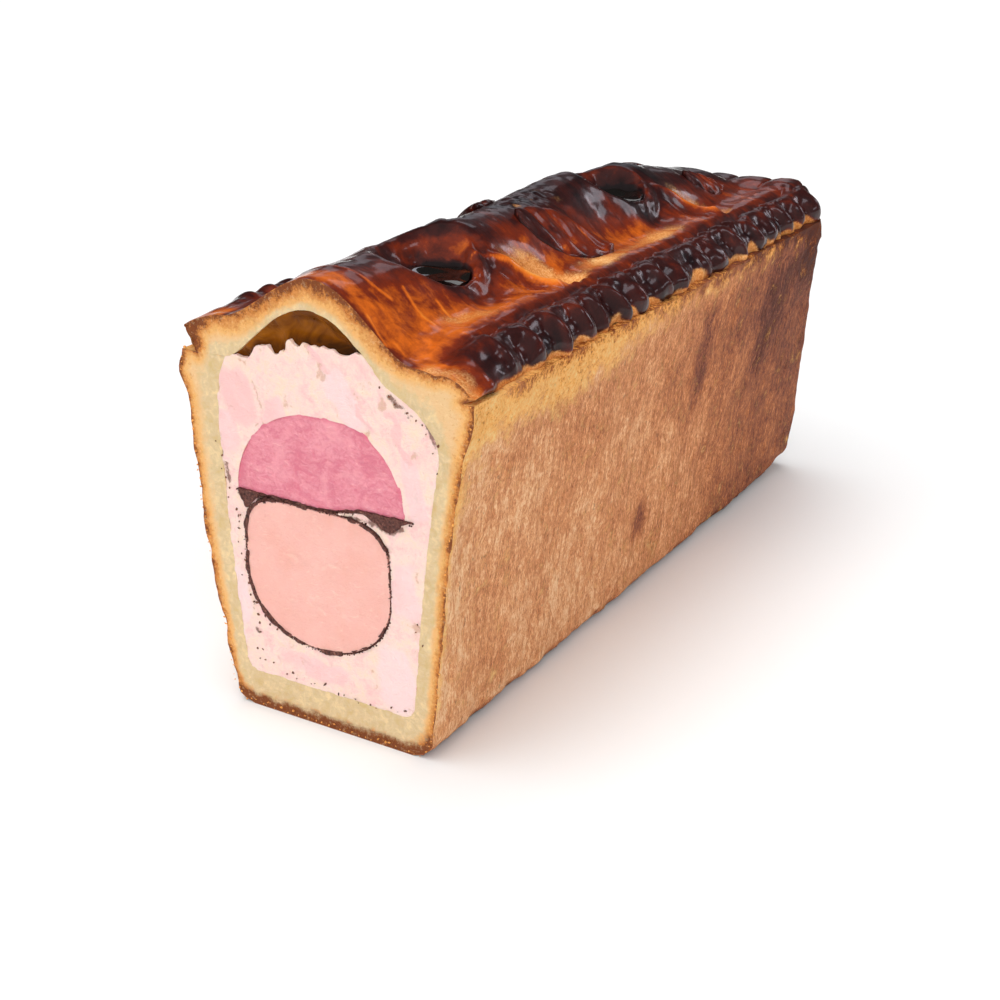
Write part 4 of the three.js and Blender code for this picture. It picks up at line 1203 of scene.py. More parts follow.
def vent_bake(vent, x, y, bake):
    """The bake with a vent's rings, fold and painted shade, and how floury the valley behind the fold is."""
    behind, strength = behind_fold(vent, x, y)
    away = from_vent(vent, x, y)
    front = 1 - smooth(y - vent[1], -5, 3)
    right = smooth(x - vent[0], 1, 8)
    rings = 0.18 * mound(away, 1.15, 0.3) * front + 0.1 * mound(away, 1.85, 0.35) * (1 - front)
    rings = rings - 0.16 * mound(away, 1.3, 0.14) * (1 - front) * (1 - right)
    rings = rings + 0.2 * mound(away, 1.35, 0.3) * right
    # Painted shade on the hood behind the vent, darker towards its left
    hood_shade = 0.12 * mound(away, 2.3, 0.5) * smooth(y - vent[1], 4, 14) * (1 - smooth(x - vent[0], 2, 12))
    fold = strength * (0.12 * mound(behind, -4.5, 2.2) - 0.26 * mound(behind, 0.5, 2.6))
    # Down the vent's well the crust is painted near black: painted shade in the hole
    bake = lerp(bake + rings + hood_shade + fold, 1.05, 1 - smooth(away, 0.9, 1.03))
    floury = plateau(x - vent[0], 4, 13, *FOLD_ENDS) * plateau(behind, 1, 6, 12, 19)
    return bake, floury * (1 if vent[1] < LENGTH / 2 else 0.6)


def lid_bake(points, groove, crease):
    """How dark the lid is, baked and with painted shade, where it has stayed bare of glaze and where its
    glaze is dull.
    """
    x, y, z = np.moveaxis(points, -1, 0)
    flank, torn = smooth(x, 13, 24), crest_leaf(x, y)
    crest = 0.34 * mound(x, -2, 16) * smooth(y, 5, 14) + 0.14 * torn
    to_back = 0.12 * smooth(y, 60, 110) * (1 - flank) + 0.07 * flank * smooth(y, 75, 105)
    to_back = to_back + 0.09 * smooth(y, 150, 205)
    left, cut_edge = 0.2 * smooth(-x, 4, 22), 0.2 * mound(y, 0, 2)
    second_mound = 0.12 * mound(x, 9, 6) * mound(y, 132, 13) - 0.07 * mound(x, 19, 5) * mound(y, 130, 11)
    bake = 0.42 + crest + to_back + left + cut_edge + second_mound - 0.25 * crease
    bare = 0.6 * torn * smooth(rough(points, 4, 2, 67), 0.2, 0.7)
    for vent in VENTS:
        bake, floury = vent_bake(vent, x, y, bake)
        bare = bare + floury
    bare = bare + mound(x, 28.5, 4.5) * (mound(y, 143, 16) + 0.9 * mound(y, 106, 14))
    bare = bare + 0.8 * mound(x - 0.25 * (y - 33), 26.5, 4) * mound(y, 33, 11)

    edge = on_crimp(x)
    low = 1 - smooth(z + 2.5 * rough(points, 5, 2, 71), SEAM_HEIGHT - 3, SEAM_HEIGHT + 6)
    teeth = lerp(0.62, 0.78, smooth(np.abs(x), CRIMP_MIDDLE - 8, CRIMP_MIDDLE - 2))
    # Painted shade: the upper grooves between the pleats are darker, so the ridges show lighter; lower down
    # the grooves are paler
    teeth = teeth + 0.12 * groove * (1 - smooth(low, 0.2, 0.7)) - 0.15 * groove * smooth(low, 0.3, 0.8)
    teeth = teeth - 0.25 * smooth(low, 0.45, 0.9) - 0.35 * (1 - smooth(y, 2, 13))
    bake = lerp(bake, teeth, edge)
    bare = np.clip(bare, 0, 1) * (1 - smooth(edge, 0.2, 0.8))
    hem = edge * smooth(low + 0.25 * groove, 0.5, 0.95) * smooth(np.abs(x), CRIMP_MIDDLE, CRIMP_MIDDLE + 4)
    front = edge * smooth(x, 0, 30) * (1 - smooth(y, 1, 9))
    bare = np.maximum(bare, np.maximum(0.95 * hem, 0.65 * front))
    matt = MATT_PLEATS * edge * smooth(low, 0.1, 0.6)
    closed_end = smooth(y, END_CRIMP - 12, END_CRIMP)
    return lerp(bake, np.maximum(bake, 0.75), closed_end), bare * (1 - closed_end), matt


def build_lid(context):
    colours, relief = context.scene.loaf_colours, context.scene.loaf_relief
    skin = Skin("bake", "bare", "matt", "depth", "dry")
    sheet, groove = lid_sheet(relief.fold_edge / MM)
    crease = creased(sheet)
    sheet = raised(sheet, -lid_relief(sheet, relief, crease))
    sheet[0, :, 1] = 0
    bake, bare, matt = lid_bake(sheet, groove, crease)
    top = skin.patch(sheet, bake=bake, bare=bare, matt=matt, dry=CRUST_DRYNESS)
    skin.grid(top)

    crust = sheet[0][:, [0, 2]]
    x = np.clip(crust[:, 0], crust[-1, 0], crust[0, 0])
    over_pocket = (x > LEFT_SEAT) & (x < RIGHT_SEAT)
    roof = section(x, np.where(over_pocket, ceiling(x, 0.0), SEAM_HEIGHT))
    mouth = add_cut(skin, top[0], crust, roof, relief, 31, 1)

    last = END_CRIMP + CRIMP_HALF_WIDTH * END_ROLL - 0.2
    stations = np.r_[np.linspace(ROOF_START, last - 8, 14), np.linspace(last - 7, last, 6)][:, None]
    level = np.maximum(ceiling(x[None], stations) - ROOF_DROP, SEAM_HEIGHT)
    drawn_in = x[None] - end_corner(x[None], stations)
    under = placed(drawn_in, stations, np.where(over_pocket, level, SEAM_HEIGHT))
    lining = np.concatenate([mouth, skin.patch(under, bake=0.8, matt=1)])
    skin.grid(lining, 1)
    skin.seam(border(top), border(lining))
    piece = skin.piece("glazed_lid", [glaze_material(colours), bpy.data.materials["cut_dough"]], 60)
    settle(piece, "glaze", "pastry_lid")


# Pastry leaves


def build_leaf(base, tip, half_width, side, name):
    base, tip = np.array(base, float), np.array(tip, float)
    axis = tip - base
    along = np.linspace(*LEAF_ENDS, LEAF_STEPS)[:, None]
    ragged = 1 + LEAF_RAGGED * rough(placed(base[0], 40 * along, 0), 6, 2, 77)
    half = half_width * ragged * np.sin(np.pi * along**LEAF_BELLY) ** LEAF_ROUNDNESS
    normal = np.array([axis[1], -axis[0]]) / np.linalg.norm(axis)
    share = np.linspace(1, -1, LEAF_COLUMNS)[None]
    x = side * (base[0] + axis[0] * along + normal[0] * half * share)
    y = base[1] + axis[1] * along + normal[1] * half * share
    ground = lid_top(x, y)
    wander = 0.12 * lumps(placed(x, y, ground), 6, 71)
    vein = 0.5 + 0.5 * np.cos(2 * np.pi * (LEAF_VEINS * along - 0.55 * share + wander))
    crown = LEAF_THICKNESS - LEAF_EDGE - LEAF_SLASH * vein**3
    height = LEAF_EDGE + crown * (1 - share**4) + 0.25 * rough(placed(x, y, ground), 5, 2, 73)
    skin = Skin("bake", "bare")
    bake = 0.64 - 0.1 * vein**4 + 0.16 * (1 - smooth(along + 0.1 * wander, 0.15, 0.45)) + 0.1 * share**6
    top = placed(x, y, ground + height)
    rim = np.concatenate([top[:, :1], top, top[:, -1:]], axis=1)
    rim[:, 0, 2] = ground[:, 0] - LEAF_ROOT
    rim[:, -1, 2] = ground[:, -1] - LEAF_ROOT
    shade = np.concatenate([bake[:, :1], bake, bake[:, -1:]], axis=1)
    blade = skin.patch(rim, bake=shade)
    skin.grid(blade)
    skin.grid(np.stack([blade[:, 0], blade[:, -1]], axis=1))
    for end in (blade[0], blade[-1]):
        skin.add([end])
    piece = skin.piece(name, [bpy.data.materials["egg_glaze"]], 65)
    settle(piece, "glaze", name.replace("pastry_", ""))


# Fillings


def meat_top(x):
    step = MEAT_STEP * (1 - smooth(x, MEAT_STEP_X - MEAT_STEP_RUN, MEAT_STEP_X))
    fall = MEAT_FALL * (1 - smooth(x, MEAT_FALL_X - MEAT_FALL_RUN, MEAT_FALL_X))
    return MEAT_LEVEL - step - fall


def ham_base(x):
    return HAM_BASE + HAM_BASE_LIFT * smooth(x, 0, HAM_LIFT_RUN)


def ham_arc(grow):
    """The round side of the ham, grown by some millimetres."""
    turn = np.linspace(0, np.pi, 160)
    x = HAM_X + (HAM_HALF_WIDTH + grow) * np.cos(turn)
    return section(x, ham_base(x) + (HAM_RISE + grow) * np.sin(turn))


def flat_side(first, last, drop, count=110):
    """A line this far under the flat side of the ham."""
    x = np.linspace(first, last, count)
    return section(x, ham_base(x) - drop)


def liver_outline(grow, count=300):
    """The block of liver, squarish above and round below, grown by some millimetres."""
    turn = np.linspace(0, 2 * np.pi, count, endpoint=False)
    power = 2 / np.where(np.sin(turn) > 0, LIVER_TOP_POWER, LIVER_FOOT_POWER)
    x = LIVER_X + (LIVER_HALF_WIDTH + grow) * np.sign(np.cos(turn)) * np.abs(np.cos(turn)) ** power
    z = LIVER_Z + (LIVER_HALF_HEIGHT + grow) * np.sign(np.sin(turn)) * np.abs(np.sin(turn)) ** power
    return resampled(closed(section(x, z)), count + 1)[:-1]


def liver_under_ham(grow):
    """The liver's outline from its left shoulder round its foot to where it meets the ham."""
    outline = liver_outline(grow, 400)
    turn = np.arctan2(outline[:, 1] - LIVER_Z, outline[:, 0] - LIVER_X) - math.radians(LEFT_JOIN)
    turn = turn % (2 * np.pi)
    order = np.argsort(turn)
    return outline[order[turn[order] < math.radians((RIGHT_JOIN - LEFT_JOIN) % 360)]]


def core_outline():
    """The hole in the forcemeat for the ham, the wrap and the liver."""
    arc = ham_arc(-0.25)
    left = flat_side(arc[-1, 0], LEFT_JOIN_X, STRIP - UNDER_WRAP, 20)
    right = flat_side(RIGHT_JOIN_X, arc[0, 0], STRIP - UNDER_WRAP, 40)
    return np.concatenate([arc, left, liver_under_ham(WRAP_GAP + WRAP_THICKNESS - UNDER_WRAP), right])


def closed(line):
    """A line with its first point again at the end."""
    return line[np.r_[0:len(line), 0]]


def frayed(line, size, depth, seed):
    """A closed outline with a ragged edge."""
    ahead = np.roll(line, -1, axis=0) - np.roll(line, 1, axis=0)
    normal = section(ahead[:, 1], -ahead[:, 0])
    normal /= np.maximum(np.linalg.norm(normal, axis=1, keepdims=True), 1e-9)
    push = depth * rough(on_cut(line), size, 3, seed)
    return line + normal * push[:, None]


def closed_ring(line, spacing):
    """A closed outline with its points about this far apart."""
    length = np.linalg.norm(np.diff(closed(line), axis=0), axis=1).sum()
    return resampled(closed(line), int(length / spacing) + 1)[:-1]


BACK_COARSENESS = 8  # how many times wider the points on the hidden back of a filling are spaced


def filling(name, slot, node, material, bars, spacing, seed, face, values=()):
    """Bars of filling, each an edge and any holes in it. Face gives points of the cut and their values."""
    skin = Skin(*values)
    for outlines in bars:
        fronts, backs = [], []
        for outline in outlines:
            ring = closed_ring(outline, spacing)
            made, face_values = face(ring)
            fronts.append(skin.patch(made, **face_values))
            backs.append(skin.patch(on_cut(ring, FILLING_END)))
            skin.tube(fronts[-1], backs[-1])
        skin.cap(fronts, spacing, seed, face)
        skin.cap(backs, spacing * BACK_COARSENESS, seed, lambda points: (on_cut(points, FILLING_END), {}))
    settle(skin.piece(name, [material], 70), slot, node)


# Chunks that show in the forcemeat: middle, half width, half height, lean in degrees and paleness
CHUNKS = (
    (22.5, 21.5, 7.4, 10.5, 2, 1),
    (-30.6, 31, 3.6, 13.5, -6, 0.9),
    (26.5, 49, 5, 9, 4, 0.6),
    (-27, 95, 6.5, 9, 12, 0.0),
    (1, 108, 1.6, 5.5, 37, 0.2),
    (29.5, 79, 3.6, 11, 12, 0.6),
    (26, 91.5, 1.3, 8.5, 33, 0.0),
    (9, 100, 4.6, 10.5, 32, 0.8),
    (-4, 18, 13, 3.6, -4, 0.3),
    (-31, 84, 3.8, 7, 4, 0.4),
    (15, 96, 1.2, 6, 36, 0.0),
    (-14, 92, 4.5, 5, 10, 0.3),
)


# Brown smears in the forcemeat, along the wedges under the ham, down its left side and at the right shoulder
STAINS = (
    ((8, 66.2), (15, 66.8), (22, 65.2), (26, 67)),
    ((-28, 65.8), (-24.5, 64), (-25, 60)),
    ((-33, 78), (-32, 74), (-31.5, 69), (-30.5, 63)),
    ((20.5, 60), (21.5, 55)),
    ((-25, 34), (-25.5, 27), (-24, 20)),
    ((21, 104), (25, 101), (30, 98)),
    ((33.5, 98.5), (37, 92)),
)


def forcemeat_face(points, relief):
    """Points of the cut forcemeat, with its chunks, cracks and stains."""
    x, z = points[:, 0], points[:, 1]
    place = on_cut(points)
    warped = place + 1.5 * np.stack([rough(place, 6, 3, 81), 0 * x, rough(place, 6, 3, 83)], axis=1)
    chunk, pale, rim = np.zeros_like(x), np.zeros_like(x), np.zeros_like(x)
    for middle_x, middle_z, half_x, half_z, lean, paleness in CHUNKS:
        turn = math.radians(lean)
        across = (warped[:, 0] - middle_x) * math.cos(turn) + (warped[:, 2] - middle_z) * math.sin(turn)
        up = (warped[:, 2] - middle_z) * math.cos(turn) - (warped[:, 0] - middle_x) * math.sin(turn)
        away = ((across / half_x) ** 4 + (up / half_z) ** 4) ** 0.25
        within = 1 - smooth(away, 0.6, 1.15)
        pale = np.where(within > chunk, paleness, pale)
        chunk = np.maximum(chunk, within)
        rim = np.maximum(rim, mound(away, 1.05, 0.6 / half_x))
    torn = smooth(rough(place, 4.5, 3, 87), 0.7, 1.2)
    crack = np.clip(rim * smooth(rough(place, 5, 3, 89), -0.1, 0.8) + 0.6 * torn, 0, 1)
    near_wall = np.minimum(np.abs(x - inner_wall(1, z)), np.abs(x - inner_wall(-1, z)))
    crack = np.maximum(crack, 0.7 * mound(near_wall, 0, 0.8) * smooth(rough(place, 5, 2, 93), 0, 0.6))
    smears = np.concatenate([resampled(line, 40) for line in STAINS])
    stain = mound(distance(points, smears), 0, 1.1) * smooth(rough(place, 3.5, 3, 95), -0.5, 0.5)
    depth = relief.cut / MM * (rough(place, 3, 3, 91) + 1.6 * crack - 0.6 * chunk + stain)
    return on_cut(points, depth), {"chunk": chunk, "pale": pale, "crack": crack, "stain": stain}


def build_forcemeat(context):
    colours, relief = context.scene.loaf_colours, context.scene.loaf_relief
    x = np.linspace(RIGHT_SEAT, LEFT_SEAT, 260)
    ragged = relief.ragged / MM * rough(placed(x, 0, 0), 2.6, 3, 101)
    level = np.minimum(meat_top(x) + ragged, ceiling(x, 0.0) + 0.2)
    sides = [hollow_side(-1, -MEAT_BITE), hollow_side(1, -MEAT_BITE)[::-1]]
    outline = np.concatenate([*sides, section(x, level)])
    filling("forcemeat_bar", "forcemeat", "forcemeat", forcemeat_material(colours),
            [[outline, core_outline()]], spacing=0.62, seed=103,
            face=lambda points: forcemeat_face(points, relief), values=("chunk", "pale", "crack", "stain"))


def build_ham(context):
    colours, relief = context.scene.loaf_colours, context.scene.loaf_relief
    arc = ham_arc(0.1)
    outline = frayed(np.concatenate([arc, flat_side(arc[-1, 0], arc[0, 0], 0.2)]), 5, 0.25, 107)

    def face(points):
        place = on_cut(points)
        rim = distance(points, outline)
        height = relief.cut / MM * (0.8 * rough(place, (2, 2, 3), 3, 109) + 0.5 * rough(place, 9, 2, 111))
        return on_cut(points, height - 0.05 + 0.3 * mound(rim, 0, 0.4)), {"rim": rim}

    filling("ham_bar", "ham", "ham", ham_material(colours), [[outline]],
            spacing=0.6, seed=113, face=face, values=("rim",))


# Creases in the liver: middle, radius, start and sweep in degrees
LIVER_CREASES = (
    (-6, 55, 7, 60, 90),
    (4, 47, 6, 30, 110),
    (2, 42, 9, 200, 60),
    (-3, 36, 6, 70, 80),
    (10, 38, 5, 120, 90),
    (-14, 48, 5, 20, 70),
    (6, 32, 7, 50, 70),
)


def build_liver(context):
    colours, relief = context.scene.loaf_colours, context.scene.loaf_relief
    outline = liver_outline(WRAP_GAP)
    arcs = []
    for x, z, radius, start, sweep in LIVER_CREASES:
        turn = np.radians(np.linspace(start, start + sweep, 40))
        arcs.append(section(x + radius * np.cos(turn), z + 0.7 * radius * np.sin(turn)))
    creases = np.concatenate(arcs)

    def face(points):
        place = on_cut(points)
        wander = points + 0.7 * section(rough(place, 3, 2, 121), rough(place, 3, 2, 123))
        crease = mound(distance(wander, creases), 0, 0.55) * smooth(rough(place, 4, 2, 125), -0.5, 0.4)
        height = relief.cut / MM * (0.45 * rough(place, 2.2, 3, 127) + 1.3 * crease)
        return on_cut(points, height), {"crease": crease}

    filling("liver_bar", "liver", "liver_block", liver_material(colours), [[outline]],
            spacing=0.6, seed=129, face=face, values=("crease",))


def wrap_weight(points):
    """1 where the wrap round the liver is thickest, low on the left, down to 0 opposite."""
    turn = np.arctan2(points[:, 1] - LIVER_Z, points[:, 0] - LIVER_X)
    return 0.5 + 0.5 * np.cos(turn - math.radians(THICKEST))


def build_wrap(context):
    colours = context.scene.loaf_colours
    inner = liver_outline(WRAP_GAP)
    outer = liver_outline(WRAP_GAP + WRAP_THICKNESS)
    ring = lerp(inner, outer, 0.38 + 0.7 * wrap_weight(outer)[:, None])
    ring = frayed(closed_ring(ring, 0.4), 2.2, 0.28, 131)
    hole = frayed(liver_outline(WRAP_GAP - 0.25), 2.4, 0.2, 133)
    top = flat_side(RIGHT_WEDGE_TIP, LEFT_WEDGE_TIP, -0.15)
    across = np.linspace(LEFT_WEDGE_TIP, RIGHT_WEDGE_TIP, 110)
    thickness = 0.6 * STRIP + sum(depth * mound(across, middle, width) for depth, middle, width in WEDGES)
    taper = plateau(across, LEFT_WEDGE_TIP - 0.5, LEFT_WEDGE_TIP + 3, 22, RIGHT_WEDGE_TIP + 0.5)
    under = section(across, ham_base(across) - thickness * taper - 0.05)
    strip = frayed(closed_ring(np.concatenate([top, under]), 0.4), 2.0, 0.3, 134)

    def face(points):
        place = on_cut(points)
        crumble = rough(place, 1.5, 3, 135)
        broken = smooth(rough(place, 3, 2, 137) - 0.9 * wrap_weight(points), -0.5, 0.1)
        wedge = np.maximum(smooth(points[:, 0], 8, 16), smooth(-points[:, 0], 20, 23))
        wedge = wedge * smooth(points[:, 1], LIVER_Z + 12, LIVER_Z + 17)
        return on_cut(points, 0.25 * crumble + lerp(0.9 * broken - 0.25, -0.5, wedge)), {}

    filling("wrap_layer", "wrap", "dark_wrap", wrap_material(colours), [[ring, hole], [strip]],
            spacing=0.3, seed=139, face=face)


def add_pool(skin, vent):
    """The wet jelly that stands in a vent, with a skirt down from its edge."""
    turn = np.linspace(0, 2 * np.pi, 73)[None, :-1]
    size = np.r_[np.linspace(0.04, 0.9, 18), POOL_SIZE][:, None]
    across, along = size * np.cos(turn), size * np.sin(turn)
    wave = 1.1 * lumps(placed(across * 9, along * 9, vent[1]), 4.5, 145)
    surface = vent[2] - POOL_DEPTH
    level = surface + 1.6 * smooth(size, 0.4, POOL_SIZE) + wave
    level = np.where(size == POOL_SIZE, surface - 1, level)
    disc = placed(vent[0] + VENT_HALF_WIDTH * across, vent[1] + VENT_HALF_LENGTH * along, level)
    # A vent's jelly is painted near black: painted shade in the vent
    pool = skin.patch(disc, light=-0.15, wet=1)
    skin.grid(np.concatenate([pool, pool[:, :1]], axis=1))
    skin.add([pool[0], pool[-1]])


def build_jelly(context):
    colours = context.scene.loaf_colours
    x = np.linspace(LEFT_SEAT + 1.5, RIGHT_SEAT - 3, 160)
    roof = ceiling(x, 0.0) + 0.25
    floor = np.minimum(meat_top(x) - 0.9, roof - 0.3)
    outline = np.concatenate([section(x, floor), section(x, roof)[::-1]])

    def face(points):
        x, z = points[:, 0], points[:, 1]
        rim = distance(points, outline)
        # Painted shade: darker just above the forcemeat, towards the right and up under the roof of the
        # pocket
        light = 0.72 - 0.45 * (1 - smooth(z - meat_top(x), 0, 3.5)) - 0.006 * x - 0.12 * smooth(z, 113, 121)
        height = 0.5 + 1.8 * smooth(rim, 0, 4) + 0.35 * rough(on_cut(points), 5, 2, 141)
        return on_cut(points, height), {"light": light}

    skin = Skin("light", "wet")
    ring = closed_ring(outline, 0.6)
    made, values = face(ring)
    front = skin.patch(made, **values)
    low = ring[:, 1].min()
    back = skin.patch(placed(ring[:, 0], JELLY_END, lerp(low, ring[:, 1], 0.3)))
    skin.tube(front, back)
    skin.cap([front], 0.6, 143, face)
    skin.cap([back], 5, 143, lambda points: (on_cut(points, JELLY_END), {}))
    for vent in VENTS:
        add_pool(skin, vent)
    settle(skin.piece("jelly_filling", [jelly_material(colours)], 60), "jelly", "jelly")


# Crumbs and specks, scattered along lines on the cut by Geometry Nodes


def crumb_tree(name):
    """Small rough lumps along a line: named inputs for spacing, size, spread and seed."""
    tree = bpy.data.node_groups.new(name, "GeometryNodeTree")
    face = tree.interface
    face.new_socket("Geometry", in_out="INPUT", socket_type="NodeSocketGeometry")
    sockets = {}
    for title, kind in (("Spacing", "Float"), ("Size", "Float"), ("Spread", "Float"), ("Seed", "Int"),
                        ("Material", "Material")):
        sockets[title] = face.new_socket(title, in_out="INPUT", socket_type=f"NodeSocket{kind}").identifier
    face.new_socket("Geometry", in_out="OUTPUT", socket_type="NodeSocketGeometry")
    given = tree.nodes.new("NodeGroupInput").outputs

    def add(kind, settings=None, output=0, **inputs):
        """Adds a node, fills or links its inputs and gives one of its outputs. An input _0 goes by number."""
        made = tree.nodes.new(kind)
        for key, value in (settings or {}).items():
            setattr(made, key, value)
        for key, value in inputs.items():
            target = made.inputs[int(key[1:]) if key[1:].isdigit() else key]
            if isinstance(value, bpy.types.NodeSocket):
                tree.links.new(value, target)
            else:
                target.default_value = value
        return made.outputs[output]

    def drawn(low, high):
        """A random vector for each crumb."""
        settings = {"data_type": "FLOAT_VECTOR"}
        return add("FunctionNodeRandomValue", settings, _0=low, _1=high, Seed=given["Seed"])

    def scaled(vector, scale):
        return add("ShaderNodeVectorMath", {"operation": "SCALE"}, _0=vector, Scale=scale)

    line = add("GeometryNodeMeshToCurve", Mesh=given["Geometry"])
    points = add("GeometryNodeCurveToPoints", {"mode": "LENGTH"}, Curve=line, Length=given["Spacing"])
    strayed = scaled(drawn((-1, -0.15, -1), (1, 0.15, 1)), given["Spread"])
    loose = add("GeometryNodeSetPosition", Geometry=points, Offset=strayed)
    ball = add("GeometryNodeMeshIcoSphere", Radius=1.0, Subdivisions=2)
    dent = add("ShaderNodeTexNoise", None, "Color", Scale=1.7, Detail=1.0)
    push = add("ShaderNodeVectorMath", {"operation": "SUBTRACT"}, _0=dent, _1=(0.5, 0.5, 0.5))
    lump = add("GeometryNodeSetPosition", Geometry=ball, Offset=scaled(push, 1.6))
    turn = drawn((0, 0, 0), (6.3, 6.3, 6.3))
    scale = scaled(drawn((0.25, 0.25, 0.25), (1, 0.7, 1)), given["Size"])
    strewn = add("GeometryNodeInstanceOnPoints", Points=loose, Instance=lump, Rotation=turn, Scale=scale)
    real = add("GeometryNodeRealizeInstances", Geometry=strewn)
    done = add("GeometryNodeSetMaterial", Geometry=real, Material=given["Material"])
    tree.links.new(done, tree.nodes.new("NodeGroupOutput").inputs[0])
    return tree, sockets


def scattered(name, slot, lines, material, spacing, size, spread, seed):
    """Crumbs along lines at the cut, as one plain mesh."""
    tree, sockets = crumb_tree(f"{name}_nodes")
    points, edges = [], []
    for line in lines:
        first = len(points)
        points += ((on_cut(line, -0.1) + ORIGIN) * MM).tolist()
        edges += [(first + step, first + step + 1) for step in range(len(line) - 1)]
    mesh = bpy.data.meshes.new(f"{name}_lines")
    mesh.from_pydata(points, edges, [])
    carrier = bpy.data.objects.new(f"{name}_lines", mesh)
    bpy.context.scene.collection.objects.link(carrier)
    modifier = carrier.modifiers.new("Crumbs", "NODES")
    modifier.node_group = tree
    values = {"Spacing": spacing * MM, "Size": size * MM, "Spread": spread * MM, "Seed": seed}
    values["Material"] = material
    for title, value in values.items():
        modifier[sockets[title]] = value
    graph = bpy.context.evaluated_depsgraph_get()
    made = bpy.data.meshes.new_from_object(carrier.evaluated_get(graph))
    if not made.polygons:
        raise RuntimeError(f"{name}: the nodes made no crumbs")
    bpy.data.objects.remove(carrier)
    made.name = name
    made.shade_smooth()
    piece = bpy.data.objects.new(name, made)
    bpy.context.scene.collection.objects.link(piece)
    settle(piece, slot)


# Dark specks lie loosely along these lines of the cut
SPECK_LINES = (
    ((20, 105), (24, 102), (28, 99), (33, 98), (36.5, 93), (37.5, 86)),
    ((-26, 19), (-24, 15.5), (-14, 13.4), (-2, 12.6), (12, 12.4), (26, 12.2)),
    ((-34, 79), (-33, 74), (-31.5, 66), (-30, 58)),
    ((-25.5, 33), (-25, 26), (-24, 20)),
    ((30, 42), (31, 36)),
)


def build_crumbs(context):
    colours = context.scene.loaf_colours
    around = closed_ring(liver_outline(WRAP_GAP + WRAP_THICKNESS / 2), 0.5)
    doubled = liver_under_ham(WRAP_GAP + WRAP_THICKNESS + 1.3)
    doubled = doubled[: len(doubled) // 3]
    under_ham = flat_side(LEFT_WEDGE_TIP, RIGHT_WEDGE_TIP, 0.6)
    scattered("wrap_crumbs", "wrap", [closed(around), under_ham], bpy.data.materials["dark_wrap"],
              spacing=0.7, size=0.4, spread=0.5, seed=3)
    speck = crumb_material("brown_speck", paint(60, 34, 28), paint(150, 100, 76))
    lines = [resampled(line, 40) for line in SPECK_LINES] + [doubled]
    scattered("meat_specks", "wrap", lines, speck, spacing=3.0, size=0.5, spread=1.3, seed=11)
    crust = case_shell()[0][:, [0, 2]]
    crust = crust[crust[:, 1] > 1] * np.array([0.985, 1])
    flake = crumb_material("pastry_flake", colours.toast, colours.gold)
    scattered("edge_flakes", "crust", [crust], flake, spacing=2.1, size=0.45, spread=0.7, seed=19)


# Stage, in metres

FLOOR_REACH = 6.0
SENSOR_WIDTH = 36  # millimetres
PANEL_COLOUR = (0.92, 0.9, 1)
PANEL_TARGET = (0, 0, 0.12)


def add_light(name, kind, place, target, strength, colour):
    """A light that points from its place to a target."""
    data = bpy.data.lights.new(name, kind)
    data.energy, data.color = strength, colour
    light = bpy.data.objects.new(name, data)
    bpy.context.scene.collection.objects.link(light)
    aim = np.array(place) - np.array(target)
    light.location = place
    light.rotation_euler = (math.atan2(math.hypot(aim[0], aim[1]), aim[2]), 0, math.atan2(aim[0], -aim[1]))
    return light


def broad_light(name, place, strength, spread):
    """Even light from one side, as soft as its spread in degrees, which the glaze doesn't mirror."""
    light = add_light(name, "SUN", place, (0, 0, 0), strength, (1, 1, 1))
    light.data.angle = math.radians(spread)
    light.visible_glossy = False


def panel_light(name, place, power, width, height, roll=0):
    """A panel that shows only as a reflection in the glaze, rolled by some degrees."""
    light = add_light(name, "AREA", place, PANEL_TARGET, power, PANEL_COLOUR)
    light.data.shape, light.data.size, light.data.size_y = "RECTANGLE", width, height
    rolled = light.rotation_euler.to_matrix() @ Matrix.Rotation(math.radians(roll), 3, "Z")
    light.rotation_euler = rolled.to_euler()
    light.visible_diffuse = False


